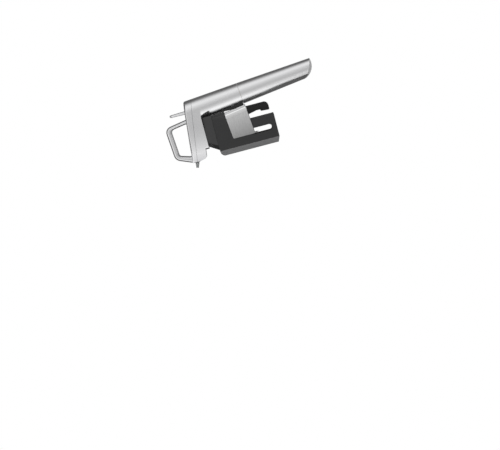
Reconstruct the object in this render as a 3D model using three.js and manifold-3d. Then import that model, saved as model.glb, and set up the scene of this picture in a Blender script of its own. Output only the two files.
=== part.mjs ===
// Needle dispenser: a clamp with two jaws, and a head with needle, spout and gas handle that slides on it.
// Millimetres, +Z up along the needle, -X towards the spout, +X towards the handle.
// The origin lies on the needle axis, in the plane of the lip that the clamp rests on.

import * as THREE from 'three';
import { mergeVertices } from 'three/addons/utils/BufferGeometryUtils.js';
import Module from 'manifold-3d';

const wasm = await Module();
wasm.setup();

// Clearances
const fitGap = 0.3;
const overrun = 3;

// Neck that the jaws close on
const neckRadius = 14.75;
const padThickness = 2;

// Plane where clamp and handle meet: the front face of the slide track
const trackFace = 38.4;

// Handle tube
const leanAngle = THREE.MathUtils.degToRad(5.8);
const trackSetback = 14.9;
const handleOffset = trackFace + trackSetback;
const handleRadius = 15.75;
const handleTaperShare = 0.02;
const handleWall = 2.2;
const seamDrop = 37;
const wellFloorRise = 16;

// Head
const headFront = 20.8;
const headTop = 49.3;
const headTopAngle = THREE.MathUtils.degToRad(5.8);
const noseHeight = 44;
const noseHalfWidth = 6.5;
const headBowLength = 51;
const noseTopSetback = 1.1;
const noseRadius = 1.5;
const chinSetback = 3.4;
const chinHeight = 30.3;
const chinRadius = 3.5;
const bellyHeight = 23.7;
const rearTopRadius = 3.5;
const headWall = 2.2;
const floorWall = 2.5;
const noseWall = 4.5;
const coverSeam = 41.4;
const coverSeamAngle = THREE.MathUtils.degToRad(8.65);
const footFront = 5;
const footInset = 1.5;
const footRadius = 2.4;

// Finger loop
const loopHalfWidth = 6;
const loopHeight = 24.7;
const loopRise = 3.3;
const loopRearSetback = 12.4;
const loopRearLean = 5.3;
const loopRear = handleOffset - loopRearSetback;
const loopRearTop = loopRear - loopRearLean;
const loopFrontTop = 10.4;
const loopFrontRadius = 10;
const loopRearRadius = 9;
const loopFrontBar = 9.3;
const loopTopBar = 7.5;
const loopRearBar = 6.1;
const loopInnerFrontRadius = 4;
const loopInnerRearRadius = 5;
const loopHeelRadius = 1.5;
const loopEdgeRadius = 2.2;
const loopCrownShare = 0.8;

// Slide track and runner
const stroke = 50;
const trackDepth = 6.9;
const trackHalfWidth = 8.2;
const trackTop = 38;
const trackEndWall = 1.6;
const cheekDepth = 3.4;
const cheekTop = 22;
const cheekKnee = 1;
const cheekRadius = 18;
const runnerHalfWidth = 6;
const runnerNeckHalfWidth = 3;
const runnerTop = 36;
const runnerLength = 20.5;
const runnerSlack = 1.3;
const trackBottom = stroke + trackEndWall + runnerSlack + runnerLength - runnerTop;
const runnerThickness = 2.4;
const runnerInset = 2.9;
const runnerFoot = 4;
const runnerFootHalfWidth = 9.5;
const runnerScrewRadius = 1.4;
const runnerScrewHead = 2.5;
const runnerScrewLength = 9;
const runnerScrewSpacing = 12.4;
const runnerScrewHeight = 13;

// Clamp cap
const capTop = 23.5;
const capBase = 10;
const capFrontTop = 3.5;
const capFrontBase = 11.4;
const capHalfWidthTop = 14;
const capHalfWidthBase = 21;
const capClearance = 0.5;
const capRear = trackFace - capClearance;
const capWall = 2.4;
const capCorner = 7;

// Clamp frame
const lipSeatThickness = 2;
const lipSeatRadius = 14;
const lipSeatBore = 2.4;
const frameDiscRadius = 15.5;
const frameDiscTop = 6.6;
const frameTop = 20.5;
const frameFront = 6.5;
const frameHalfWidth = 10.6;
const frameRearInset = 4.2;
const frameRear = capRear - frameRearInset;
const spineHalfWidth = 8.5;
const lugThickness = 3.5;
const lugRadius = 3.6;
const lugDrop = 36.5;
const guideRadius = 4;
const guideShoulder = 12;
const guideNeckRadius = 2.2;

// Jaws
const jawFront = 21;
const jawFrontFlat = 8;
const jawFacetRear = 12.9;
const jawHalfWidth = 21;
const jawMeeting = 0.5;
const jawBottom = 75;
const jawBottomSlant = 3;
const jawShoulder = 7;
const jawRoof = 2.7;
const armClearance = 1;
const armRear = trackFace - armClearance;
const armThickness = 6.4;
const armBottom = 41;
const pivotInset = 14.4;
const pivotX = armRear - pivotInset;
const pivotY = 14.5;
const pinRadius = 1.5;
const pivotBoss = 3.4;
const skirtRear = pivotX - pivotBoss;
const spineLead = 2.8;
const spineTrail = 4;
const spineFront = pivotX - spineLead;
const spineRear = pivotX + spineTrail;
const paddleWidth = 10.6;
const paddleFront = armRear - paddleWidth;
const paddleBottom = 70.8;
const paddleThickness = 6;
const paddleEndRadius = 5.5;
const paddleNotchDepth = 2.8;
const paddleNotchTop = 48;
const paddleNotchBottom = 58;
const slotFront = 1.9;
const slotRear = 6.4;
const slotTop = 40;
const slotBottom = 68;
const slotBevel = 2.4;
const slotBevelDepth = 1.6;
const padTop = 6;
const padBottom = 72;
const padSpan = THREE.MathUtils.degToRad(112);
const jawSpringRadius = 3.2;
const jawSpringWire = 0.45;
const jawSpringTurns = 8;
const jawSpringInset = 5.2;
const jawSpringX = armRear - jawSpringInset;
const jawSpringDrop = 24;
const springPocket = 1.6;

// Side plates
const plateThickness = 0.8;
const plateFront = -0.6;
const plateTopFront = 12.6;
const plateTopRear = 9.2;
const plateBottomFront = 43.3;
const plateBottomRear = 39.4;
const plateRearInset = 0.9;
const plateRearLean = 4.5;
const plateRearTop = armRear - plateRearInset;
const plateRearBottom = plateRearTop + plateRearLean;
const plateBend = 4;
const plateCorner = 1.6;

// Rear cover screw, in front of the track
const coverScrewRearInset = 3.8;
const coverScrewRearX = trackFace - coverScrewRearInset;

// Needle and flow path
const needleRadius = 0.75;
const needleBore = 0.42;
const needleReach = 49.5;
const needlePoint = 3.2;
const hubRadius = 3.5;
const hubBottom = 24.2;
const hubShoulder = 31.7;
const hubThreadRadius = 2.2;
const hubTop = 37;
const hubBossRadius = 6.5;
const manifoldBase = 33;
const manifoldTop = 38.6;
const manifoldFront = 13.6;
const manifoldRearInset = 4.6;
const manifoldRear = coverScrewRearX - manifoldRearInset;
const manifoldHalfWidth = 4.2;
const manifoldTowerRear = 7.6;
const channelRadius = 1.2;
const channelRise = 3;
const channelHeight = manifoldBase + channelRise;
const gasPortInset = 3;
const gasPortX = manifoldRear - gasPortInset;
const manifoldPostInset = 6;
const manifoldPostX = manifoldRear - manifoldPostInset;
const manifoldPostRadius = 3.2;
const hubRingRadius = 0.35;
const spoutLength = 7.4;
const spoutAngle = THREE.MathUtils.degToRad(12.9);
const spoutRadius = 2.8;
const spoutTipRadius = 1.8;
const spoutBore = 1.1;
const spoutLift = 0.536;
const spoutHeight = coverSeam + headFront * Math.tan(coverSeamAngle) + spoutLift;
const spoutInner = 8.2;
const manifoldTowerRise = 1.5;
const manifoldTowerTop = spoutHeight + manifoldTowerRise;
const spoutCollar = 3.7;

// Cover screws
const coverScrewRadius = 1.3;
const coverScrewHead = 2.1;
const coverScrewHeadLength = 1.8;
const coverScrewPost = 2.6;
const coverScrewFrontX = 19;
const coverScrewFrontY = 7.1;

// Regulator, along the handle axis
const spigotRadius = 11;
const spigotLength = 10.2;
const socketRadius = 5;
const socketDepth = 7.5;
const bodyRadius = 7.8;
const bodyTopDrop = 12.3;
const inletRadius = 1.6;
const inletLength = 6;
const chamberRadius = 5.8;
const bonnetCollarRadius = 7;
const bonnetCollarLength = 3;
const bonnetRadius = 5.5;
const bonnetShoulderRise = 10;
const bonnetNeckRadius = 3.8;
const bonnetTopRise = 21;
const stemRadius = 1.2;
const stemPocketRadius = 2.8;
const stemPocketFloor = 12;
const stemHeadRadius = 2.6;
const stemHeadLength = 2.5;
const stemHeadRise = 22.5;
const stemTailLength = 3;
const valveSpringWire = 0.3;
const valveSpringTurns = 5;
const pistonRadius = 5.5;
const pistonLength = 5;
const pistonLift = 3;
const pistonRingWire = 0.35;
const regulatorSpringRadius = 4.3;
const regulatorSpringWire = 0.6;
const regulatorSpringTurns = 5;
const piercerRadius = 1.2;
const piercerFlange = 4.4;
const piercerFlangeLength = 1.2;
const piercerReach = 3.4;
const gasketThickness = 1;
const gasketBore = 2;
const gasTubeRadius = 1.2;

// Trigger
const triggerPivotOffset = 4.2;
const triggerPivotX = handleOffset + triggerPivotOffset;
const triggerPivotZ = 29.5;
const triggerPinRadius = 1.2;
const triggerPinHalfLength = 11;
const triggerHub = 3.1;
const triggerTop = 66;
const triggerTipLead = 9.1;
const triggerTipFront = triggerPivotX - triggerTipLead;
const triggerTipThickness = 3.4;
const triggerRootLead = 9.6;
const triggerRootFront = triggerPivotX - triggerRootLead;
const triggerRootThickness = 4.9;
const triggerBladeHalfWidth = 6;
const triggerShankHalfWidth = 4;
const triggerBladeFoot = 40.5;
const triggerSlotLead = 2.7;
const triggerSlotTrail = 1.2;
const triggerSlotFront = triggerRootFront - triggerSlotLead;
const triggerSlotRear = triggerRootFront + triggerRootThickness + triggerSlotTrail;
const triggerBossInner = 6.2;
const triggerBossOuter = 12.4;
const triggerBossHalf = 3;
const triggerTipRoundShare = 0.45;
const triggerTipCornerShare = 0.6;

// Gas capsule and its cup
const capsuleRadius = 10.8;
const capsuleNeckRadius = 4.7;
const capsuleNeckLength = 7;
const capsuleShoulder = 10;
const capsuleLength = 91.4;
const capsuleDome = 8;
const capsuleMouthRadius = 1.5;
const capsuleWall = 1.4;
const cupTaperShare = 0.027;
const cupEndDrop = 146;
const cupEndRadius = 20;
const cupEndOffset = 7;
const cupEndCentre = 124.5;

// Facets
const roundSteps = 40;
const smallSteps = 16;
const pistonSteps = 24;
const needleSteps = 10;
const cornerSteps = 5;
const edgeSteps = 3;
const bowSteps = 8;
const domeSteps = 8;
const springSteps = 8;
const wireSides = 5;
const gasTubeSides = 8;
const gasTubeSteps = 18;

const reach = 4 * (handleOffset + headFront);
const halfPi = Math.PI / 2;

// Solids from three.js geometries

function signedVolume(geometry) {
  const position = geometry.attributes.position;
  const index = geometry.index;
  const a = new THREE.Vector3();
  const b = new THREE.Vector3();
  const c = new THREE.Vector3();
  let sum = 0;
  for (let i = 0; i < index.count; i += 3) {
    a.fromBufferAttribute(position, index.getX(i));
    b.fromBufferAttribute(position, index.getX(i + 1));
    c.fromBufferAttribute(position, index.getX(i + 2));
    sum += a.dot(b.cross(c));
  }
  return sum / 6;
}

function outward(geometry) {
  if (signedVolume(geometry) < 0) {
    const corners = Array.from(geometry.index.array).reverse();
    geometry.setIndex(corners);
  }
  return geometry;
}

function solid(geometry) {
  const bare = new THREE.BufferGeometry();
  bare.setAttribute('position', geometry.attributes.position.clone());
  if (geometry.index) bare.setIndex(geometry.index.clone());
  const merged = outward(mergeVertices(bare));
  const corners = Uint32Array.from(merged.index.array);
  const mesh = new wasm.Mesh({
    numProp: 3,
    vertProperties: Float32Array.from(merged.attributes.position.array),
    triVerts: corners,
  });
  return new wasm.Manifold(mesh);
}

function surface(body) {
  const mesh = body.getMesh();
  const indexed = new THREE.BufferGeometry();
  indexed.setAttribute('position', new THREE.BufferAttribute(Float32Array.from(mesh.vertProperties), 3));
  indexed.setIndex(new THREE.BufferAttribute(Uint32Array.from(mesh.triVerts), 1));
  const flat = indexed.toNonIndexed();
  flat.computeVertexNormals();
  return flat;
}

function turned(geometry, matrix) {
  return geometry.clone().applyMatrix4(matrix);
}

// Outlines: a corner is [x, y] or [x, y, radius]

function rounded(corners) {
  const points = [];
  corners.forEach(([x, y, radius], i) => {
    const here = new THREE.Vector2(x, y);
    if (!radius) {
      points.push(here);
      return;
    }
    const [px, py] = corners[(i + corners.length - 1) % corners.length];
    const [nx, ny] = corners[(i + 1) % corners.length];
    const back = new THREE.Vector2(px, py).sub(here).normalize();
    const ahead = new THREE.Vector2(nx, ny).sub(here).normalize();
    const half = Math.acos(THREE.MathUtils.clamp(back.dot(ahead), -1, 1)) / 2;
    const centre = back.clone().add(ahead).normalize().multiplyScalar(radius / Math.sin(half)).add(here);
    const start = back.multiplyScalar(radius / Math.tan(half)).add(here).sub(centre);
    const end = ahead.multiplyScalar(radius / Math.tan(half)).add(here).sub(centre);
    const from = Math.atan2(start.y, start.x);
    let sweep = Math.atan2(end.y, end.x) - from;
    if (sweep > Math.PI) sweep -= 2 * Math.PI;
    if (sweep < -Math.PI) sweep += 2 * Math.PI;
    for (let k = 0; k <= cornerSteps; k += 1) {
      const angle = from + (sweep * k) / cornerSteps;
      points.push(new THREE.Vector2(Math.cos(angle), Math.sin(angle)).multiplyScalar(radius).add(centre));
    }
  });
  return points;
}

function extruded(corners, depth) {
  const shape = new THREE.Shape(rounded(corners));
  return new THREE.ExtrudeGeometry(shape, { depth, bevelEnabled: false, steps: 1 });
}

// A slab across the part, with a window in it and all its edges rounded

function roundedSlab(corners, window, halfWidth, edgeRadius) {
  const shape = new THREE.Shape(rounded(corners));
  shape.holes.push(new THREE.Path(rounded(window).reverse()));
  const flat = halfWidth - edgeRadius;
  const slab = new THREE.ExtrudeGeometry(shape, {
    depth: 2 * flat,
    steps: 1,
    bevelThickness: edgeRadius,
    bevelSize: edgeRadius,
    bevelOffset: -edgeRadius,
    bevelSegments: edgeSteps,
  });
  return solid(slab.rotateX(halfPi).translate(0, flat, 0));
}

function upright(corners, bottom, top) {
  return solid(extruded(corners, top - bottom).translate(0, 0, bottom));
}

function across(corners, left, right) {
  return solid(extruded(corners, right - left).rotateX(halfPi).translate(0, right, 0));
}

function along(corners, front, rear) {
  return solid(extruded(corners, rear - front).rotateX(halfPi).rotateZ(halfPi).translate(front, 0, 0));
}

function rectangle(x0, y0, x1, y1) {
  return [[x0, y0], [x1, y0], [x1, y1], [x0, y1]];
}

function block(x0, x1, y0, y1, z0, z1) {
  return upright(rectangle(x0, y0, x1, y1), z0, z1);
}

function revolved(profile, segments) {
  const points = profile.map(([radius, height]) => new THREE.Vector2(radius, height));
  return outward(new THREE.LatheGeometry(points, segments).rotateX(halfPi));
}

function rod(radius, bottom, top, segments = smallSteps) {
  return revolved([[0, bottom], [radius, bottom], [radius, top], [0, top]], segments);
}

function pipe(inner, outer, bottom, top, segments = smallSteps) {
  const profile = [[inner, bottom], [outer, bottom], [outer, top], [inner, top], [inner, bottom]];
  return revolved(profile, segments);
}

function ring(radius, wire, height, segments = smallSteps) {
  const profile = [];
  for (let i = 0; i <= wireSides; i += 1) {
    const angle = (i * 2 * Math.PI) / wireSides;
    profile.push([radius + wire * Math.cos(angle), height + wire * Math.sin(angle)]);
  }
  return revolved(profile, segments);
}

// A closed skin through rings of points, all with the same count

function lofted(rings) {
  const count = rings[0].length;
  const positions = rings.flat().flatMap((point) => [point.x, point.y, point.z]);
  const index = [];
  for (let r = 0; r + 1 < rings.length; r += 1) {
    for (let i = 0; i < count; i += 1) {
      const a = r * count + i;
      const b = r * count + ((i + 1) % count);
      index.push(a, b, a + count, b, b + count, a + count);
    }
  }
  const flat = rings[0].map((point) => new THREE.Vector2(point.x, point.y));
  const faces = THREE.ShapeUtils.triangulateShape(flat, []);
  const last = (rings.length - 1) * count;
  faces.forEach(([a, b, c]) => {
    index.push(c, b, a);
    index.push(last + a, last + b, last + c);
  });
  const geometry = new THREE.BufferGeometry();
  geometry.setAttribute('position', new THREE.Float32BufferAttribute(positions, 3));
  geometry.setIndex(index);
  return solid(geometry);
}

function level(points, z) {
  return points.map(([x, y]) => new THREE.Vector3(x, y, z));
}

// A coil spring on the Z axis, closed by flat ends of its own wire

function coil(radius, wire, bottom, top, turns) {
  const count = turns * springSteps;
  const points = [];
  for (let i = 0; i <= count; i += 1) {
    const angle = (i * 2 * Math.PI) / springSteps;
    const z = bottom + wire + ((top - bottom - 2 * wire) * i) / count;
    points.push([radius, angle, z]);
  }
  const positions = [];
  points.forEach(([r, angle, z]) => {
    for (let k = 0; k < wireSides; k += 1) {
      const turn = (k * 2 * Math.PI) / wireSides;
      const rho = r + wire * Math.cos(turn);
      positions.push(rho * Math.cos(angle), rho * Math.sin(angle), z + wire * Math.sin(turn));
    }
  });
  const index = [];
  for (let i = 0; i < count; i += 1) {
    for (let k = 0; k < wireSides; k += 1) {
      const a = i * wireSides + k;
      const b = i * wireSides + ((k + 1) % wireSides);
      index.push(a, a + wireSides, b, b, a + wireSides, b + wireSides);
    }
  }
  const last = count * wireSides;
  for (let k = 1; k + 1 < wireSides; k += 1) {
    index.push(0, k, k + 1);
    index.push(last, last + k + 1, last + k);
  }
  const geometry = new THREE.BufferGeometry();
  geometry.setAttribute('position', new THREE.Float32BufferAttribute(positions, 3));
  geometry.setIndex(index);
  return outward(geometry);
}

// Lines of the head in the side view

function topLine(x) {
  return headTop - x * Math.tan(headTopAngle);
}

function seamLine(x) {
  return coverSeam - x * Math.tan(coverSeamAngle);
}

const chinX = chinSetback - headFront;

function bellyLine(x) {
  return chinHeight + ((bellyHeight - chinHeight) * (x - chinX)) / (trackFace - chinX);
}

// The handle tube widens evenly towards the head; its height is taken along its axis

function tubeRadius(height) {
  return handleRadius + handleTaperShare * height;
}

function tubeBody(inset, bottom, top) {
  return onHandle(revolved([
    [0, bottom],
    [tubeRadius(bottom) - inset, bottom],
    [tubeRadius(top) - inset, top],
    [0, top],
  ], roundSteps));
}

// Plan of the head: each side is one arc that starts at the nose and ends parallel to the middle plane

const headRearHalf = tubeRadius(coverSeam);
const headSwell = headRearHalf - noseHalfWidth;
const headBowRadius = (headBowLength ** 2 + headSwell ** 2) / (2 * headSwell);

function headHalfWidth(x) {
  const left = Math.max(headBowLength - headFront - x, 0);
  return headRearHalf - headBowRadius + Math.sqrt(headBowRadius ** 2 - left ** 2);
}

// Corners of one side, from the nose to the tube

function headSideCorners(front, rear, inset, noseCorner) {
  const straight = headBowLength - headFront;
  const corners = [[front, headHalfWidth(front) - inset, noseCorner]];
  for (let k = 1; k <= bowSteps; k += 1) {
    const x = front + ((straight - front) * k) / bowSteps;
    corners.push([x, headHalfWidth(x) - inset]);
  }
  corners.push([rear, headHalfWidth(rear) - inset]);
  return corners;
}

function headOutline(front, rear, inset, noseCorner) {
  const right = headSideCorners(front, rear, inset, noseCorner);
  const left = right.map(([x, y, radius]) => [x, -y, radius]).reverse();
  return [...right, ...left];
}

// The handle axis: local +Z runs up the tube from the lip plane

const handleTurn = new THREE.Matrix4().makeRotationY(-leanAngle).setPosition(handleOffset, 0, 0);

function onHandle(geometry) {
  return solid(turned(geometry, handleTurn));
}

function handleAxisX(z) {
  return handleOffset - z * Math.tan(leanAngle);
}

function belowLine(line, inset) {
  return across([
    [-reach, -reach],
    [reach, -reach],
    [reach, line(reach) - inset],
    [-reach, line(-reach) - inset],
  ], -reach, reach);
}

// Head block in plan, with a wall taken off all round

function headPlan(inset, bottom, top) {
  const outline = headOutline(inset - headFront, handleAxisX(coverSeam), inset, noseHalfWidth / 2);
  return upright(outline, bottom, top);
}

function headSide() {
  const rear = handleAxisX(coverSeam);
  const front = -headFront;
  return [
    [front, noseHeight, noseRadius],
    [front + noseTopSetback, topLine(front + noseTopSetback)],
    [rear, topLine(rear)],
    [rear, bellyLine(rear)],
    [chinX, chinHeight, chinRadius],
  ];
}

// Everything behind this outline is trimmed: the top slope and its rounded rear corner

function topLimit() {
  const rearX = (z) => handleAxisX(z) + (tubeRadius(z) + fitGap / 4) / Math.cos(leanAngle);
  let z = topLine(rearX(headTop));
  z = topLine(rearX(z));
  return across([
    [-reach, -reach],
    [rearX(-reach), -reach],
    [rearX(z), topLine(rearX(z)), rearTopRadius],
    [-reach, topLine(-reach)],
  ], -reach, reach);
}

function headAndTube() {
  const tube = tubeBody(0, -seamDrop, headTop + headFront);
  const clearOfCap = block(-reach, trackFace, -reach, reach, -reach, bellyHeight + fitGap);
  const head = across(headSide(), -reach, reach).intersect(headPlan(0, 0, 2 * headTop));
  return tube.subtract(clearOfCap).add(head).intersect(topLimit());
}

function foot() {
  const outline = headOutline(-footFront, trackFace - fitGap, footInset, footRadius);
  const column = upright(outline, capTop + fitGap, manifoldBase);
  const under = belowLine(bellyLine, -floorWall / 2);
  return column.intersect(under);
}

// Track outline, cheeks included; clearance shrinks it all round

function cheekRegion(clearance) {
  const edge = trackFace + cheekDepth - clearance;
  return across([
    [-reach, cheekTop - clearance],
    [trackFace - clearance, cheekTop - clearance],
    [edge, -cheekKnee, cheekRadius],
    [edge, -reach],
    [-reach, -reach],
  ], -reach, reach);
}

function trackBar(clearance) {
  return block(
    trackFace - clearance,
    trackFace + trackDepth + clearance,
    -trackHalfWidth - clearance,
    trackHalfWidth + clearance,
    -trackBottom - clearance,
    trackTop + clearance,
  );
}

// Inside of the head: the plan with its wall taken off, above the floor

function headWell(top) {
  const front = noseWall - headFront;
  const rear = handleAxisX(coverSeam);
  const outline = [
    [front, bellyLine(front) + floorWall],
    [rear, bellyLine(rear) + floorWall],
    [rear, top(rear)],
    [front, top(front)],
  ];
  const well = across(outline, -reach, reach).intersect(headPlan(headWall, 0, 2 * headTop));
  const tubeFloor = trackFace + trackDepth + 1.5 * fitGap + handleWall / 3;
  const shaft = tubeBody(handleWall, wellFloorRise, headTop + headFront);
  const lowShaft = shaft.intersect(block(tubeFloor, reach, -reach, reach, 0, 2 * headTop));
  const under = across([
    [-reach, -reach],
    [reach, -reach],
    [reach, top(reach)],
    [-reach, top(-reach)],
  ], -reach, reach);
  return well.add(lowShaft.intersect(under));
}

const screwPlaces = [
  ['front_left', coverScrewFrontX, -coverScrewFrontY],
  ['front_right', coverScrewFrontX, coverScrewFrontY],
  ['rear', coverScrewRearX, 0],
];

function uprightRod(x, y, radius, bottom, top, segments = smallSteps) {
  return solid(rod(radius, bottom, top, segments).translate(x, y, 0));
}

function crossRod(x, z, radius, left, right, segments = smallSteps) {
  return solid(rod(radius, -right, -left, segments).rotateX(halfPi).translate(x, 0, z));
}

// Spout bore through the nose, on the seam

const spoutPivot = new THREE.Vector3(-headFront, 0, spoutHeight);
const spoutTurn = new THREE.Matrix4().makeRotationY(spoutAngle - halfPi).setPosition(spoutPivot);

function onSpout(geometry) {
  return solid(turned(geometry, spoutTurn));
}

function spoutHole(clearance) {
  return onSpout(rod(spoutRadius + clearance, -spoutInner - overrun, spoutLength + overrun));
}

function screwHeadDepth(x) {
  return capTop + fitGap + coverScrewHeadLength + (x > 0 ? fitGap : 0);
}

function handleCasting() {
  let body = headAndTube().add(foot()).intersect(belowLine(seamLine, fitGap / 2));
  body = body.subtract(headWell(() => 2 * headTop));
  const posts = [
    uprightRod(0, 0, hubBossRadius, bellyHeight, manifoldBase - fitGap, roundSteps),
    uprightRod(manifoldPostX, 0, manifoldPostRadius, bellyHeight + fitGap, manifoldBase - fitGap),
  ];
  screwPlaces.forEach(([, x, y]) => {
    const postTop = seamLine(x + coverScrewPost) - fitGap;
    posts.push(uprightRod(x, y, coverScrewPost, bellyHeight + floorWall, postTop));
  });
  [-1, 1].forEach((side) => {
    const near = side * triggerBossInner;
    const far = side * triggerBossOuter;
    posts.push(block(
      triggerPivotX - triggerBossHalf,
      triggerPivotX + triggerBossHalf,
      Math.min(near, far),
      Math.max(near, far),
      wellFloorRise,
      seamLine(triggerPivotX + triggerBossHalf) - fitGap,
    ));
  });
  posts.forEach((post) => {
    body = body.add(post);
  });
  body = body.subtract(cheekRegion(0)
    .intersect(block(trackFace - overrun, reach, -reach, reach, -reach, cheekTop)));
  body = body.subtract(trackBar(fitGap));
  body = body.subtract(solid(rod(hubRadius + fitGap, 0, manifoldBase + overrun)));
  screwPlaces.forEach(([, x, y]) => {
    body = body.subtract(uprightRod(x, y, coverScrewRadius + fitGap, 0, coverSeam + overrun));
    body = body.subtract(uprightRod(x, y, coverScrewHead + fitGap, 0, screwHeadDepth(x)));
  });
  const pinSlot = triggerPinRadius + fitGap / 2;
  const pinReach = triggerPinHalfLength + fitGap;
  body = body.subtract(crossRod(triggerPivotX, triggerPivotZ, pinSlot, -pinReach, pinReach));
  body = body.subtract(block(
    triggerPivotX - pinSlot,
    triggerPivotX + pinSlot,
    -pinReach,
    pinReach,
    triggerPivotZ,
    coverSeam,
  ));
  const bores = [
    rod(bodyRadius + fitGap, -seamDrop - overrun, -bodyTopDrop, roundSteps),
    rod(bonnetCollarRadius + fitGap, -bodyTopDrop - fitGap, bonnetCollarLength - bodyTopDrop + 2 * fitGap),
    rod(bonnetRadius + fitGap, -bodyTopDrop, bonnetShoulderRise + fitGap),
    rod(bonnetNeckRadius + fitGap, 0, wellFloorRise + overrun),
  ];
  bores.forEach((bore) => {
    body = body.subtract(onHandle(bore));
  });
  return surface(body.subtract(spoutHole(fitGap)));
}

// Loop outline, outside and inside

function loopOutside() {
  const crown = headTop + loopHeight;
  const front = noseTopSetback - headFront;
  const root = 3 * loopEdgeRadius;
  return [
    [front, topLine(front) - root],
    [front, topLine(front)],
    [-loopFrontTop, crown, loopFrontRadius],
    [loopRearTop, crown + loopRise, loopRearRadius],
    [loopRear, topLine(loopRear)],
    [loopRear, topLine(loopRear) - root],
  ];
}

function loopInside() {
  const crown = headTop + loopHeight - loopTopBar;
  const frontHeel = noseTopSetback - headFront + loopFrontBar;
  const rearHeel = loopRear - loopRearBar;
  return [
    [frontHeel, topLine(frontHeel), loopHeelRadius],
    [loopFrontBar / 2 - loopFrontTop, crown, loopInnerFrontRadius],
    [loopRearTop - loopRearBar + loopRise / 2, crown + loopRise * loopCrownShare, loopInnerRearRadius],
    [rearHeel, topLine(rearHeel), loopHeelRadius],
  ];
}

function headCover() {
  const aboveSeam = across([
    [-reach, seamLine(-reach) + fitGap / 2],
    [reach, seamLine(reach) + fitGap / 2],
    [reach, reach],
    [-reach, reach],
  ], -reach, reach);
  let body = headAndTube().subtract(headWell((x) => topLine(x) - headWall)).intersect(aboveSeam);
  screwPlaces.forEach(([, x, y]) => {
    const postBottom = seamLine(x - coverScrewPost) + fitGap;
    body = body.add(uprightRod(x, y, coverScrewPost, postBottom, topLine(x) - headWall / 2));
  });
  [-1, 1].forEach((side) => {
    const half = triggerPinRadius - fitGap / 2;
    const middle = side * (triggerBossInner + triggerBossOuter) / 2;
    body = body.add(block(
      triggerPivotX - half,
      triggerPivotX + half,
      middle - half,
      middle + half,
      triggerPivotZ + triggerPinRadius + fitGap,
      topLine(triggerPivotX) - headWall / 2,
    ));
  });
  screwPlaces.forEach(([, x, y]) => {
    body = body.subtract(uprightRod(x, y, coverScrewRadius + fitGap, 0, topLine(x) - headWall));
  });
  const slot = rectangle(
    triggerSlotFront,
    -triggerBladeHalfWidth - fitGap,
    triggerSlotRear,
    triggerBladeHalfWidth + fitGap,
  );
  body = body.subtract(upright(slot, seamLine(triggerSlotRear), headTop + overrun));
  const loop = roundedSlab(loopOutside(), loopInside(), loopHalfWidth, loopEdgeRadius);
  body = body.add(loop.subtract(belowLine(topLine, headWall / 2)));
  return surface(body.subtract(spoutHole(fitGap)));
}

function trackInsert() {
  const cheeks = tubeBody(fitGap, fitGap - seamDrop, cheekTop + overrun)
    .intersect(cheekRegion(fitGap))
    .intersect(block(trackFace, reach, -reach, reach, -reach, cheekTop - fitGap));
  let body = cheeks.add(trackBar(0));
  const neck = runnerNeckHalfWidth + fitGap;
  const wide = runnerHalfWidth + fitGap;
  const lips = runnerInset - fitGap;
  const deep = runnerInset + runnerThickness + fitGap;
  const floor = trackEndWall - trackBottom;
  const ceiling = runnerTop + fitGap;
  body = body.subtract(block(trackFace - overrun, trackFace + lips + fitGap, -neck, neck, floor, ceiling));
  body = body.subtract(block(trackFace + lips, trackFace + deep, -wide, wide, floor, ceiling));
  const regulatorRoom = rod(bodyRadius + 2 * fitGap, -seamDrop - overrun, -bodyTopDrop, roundSteps);
  return surface(body.subtract(onHandle(regulatorRoom)));
}

function slideCarriage() {
  const bottom = runnerTop - runnerLength;
  const neckFront = trackFace + fitGap;
  const headStart = trackFace + runnerInset;
  const neckHalf = runnerNeckHalfWidth;
  const foot = block(
    frameRear + fitGap,
    capRear,
    -runnerFootHalfWidth,
    runnerFootHalfWidth,
    capBase + fitGap,
    capTop - capWall - fitGap,
  );
  const bridge = block(
    capRear - fitGap,
    headStart + fitGap,
    -neckHalf,
    neckHalf,
    bottom,
    capTop - capWall - fitGap,
  );
  const headEnd = headStart + runnerThickness;
  const neck = block(neckFront, headStart + fitGap, -neckHalf, neckHalf, bottom, runnerTop);
  const head = block(headStart, headEnd, -runnerHalfWidth, runnerHalfWidth, bottom, runnerTop);
  let body = foot.add(bridge).add(neck).add(head);
  [-1, 1].forEach((side) => {
    const y = (side * runnerScrewSpacing) / 2;
    const bore = rod(runnerScrewRadius + fitGap, frameRear, capRear + overrun);
    const sink = rod(runnerScrewHead + fitGap, capRear - runnerFoot / 2, capRear + overrun);
    body = body.subtract(solid(bore.rotateY(halfPi).translate(0, y, runnerScrewHeight)));
    body = body.subtract(solid(sink.rotateY(halfPi).translate(0, y, runnerScrewHeight)));
  });
  return surface(body);
}

function carriageScrew() {
  const seat = capRear - runnerFoot / 2 + fitGap;
  const head = capRear - fitGap;
  const tip = seat - runnerScrewLength;
  const profile = [
    [0, tip],
    [runnerScrewRadius, tip],
    [runnerScrewRadius, seat],
    [runnerScrewHead, seat],
    [runnerScrewHead, head],
    [0, head],
  ];
  return revolved(profile, smallSteps).rotateY(halfPi);
}

// Clamp cap: roof with chamfered front corners, hollow from below

function capRing(front, halfWidth, inset, z) {
  const flat = halfWidth - capCorner;
  return level([
    [front + inset, -flat + inset / 2],
    [front + capCorner + inset / 2, -halfWidth + inset],
    [capRear - inset, -halfWidth + inset],
    [capRear - inset, halfWidth - inset],
    [front + capCorner + inset / 2, halfWidth - inset],
    [front + inset, flat - inset / 2],
  ], z);
}

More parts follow.
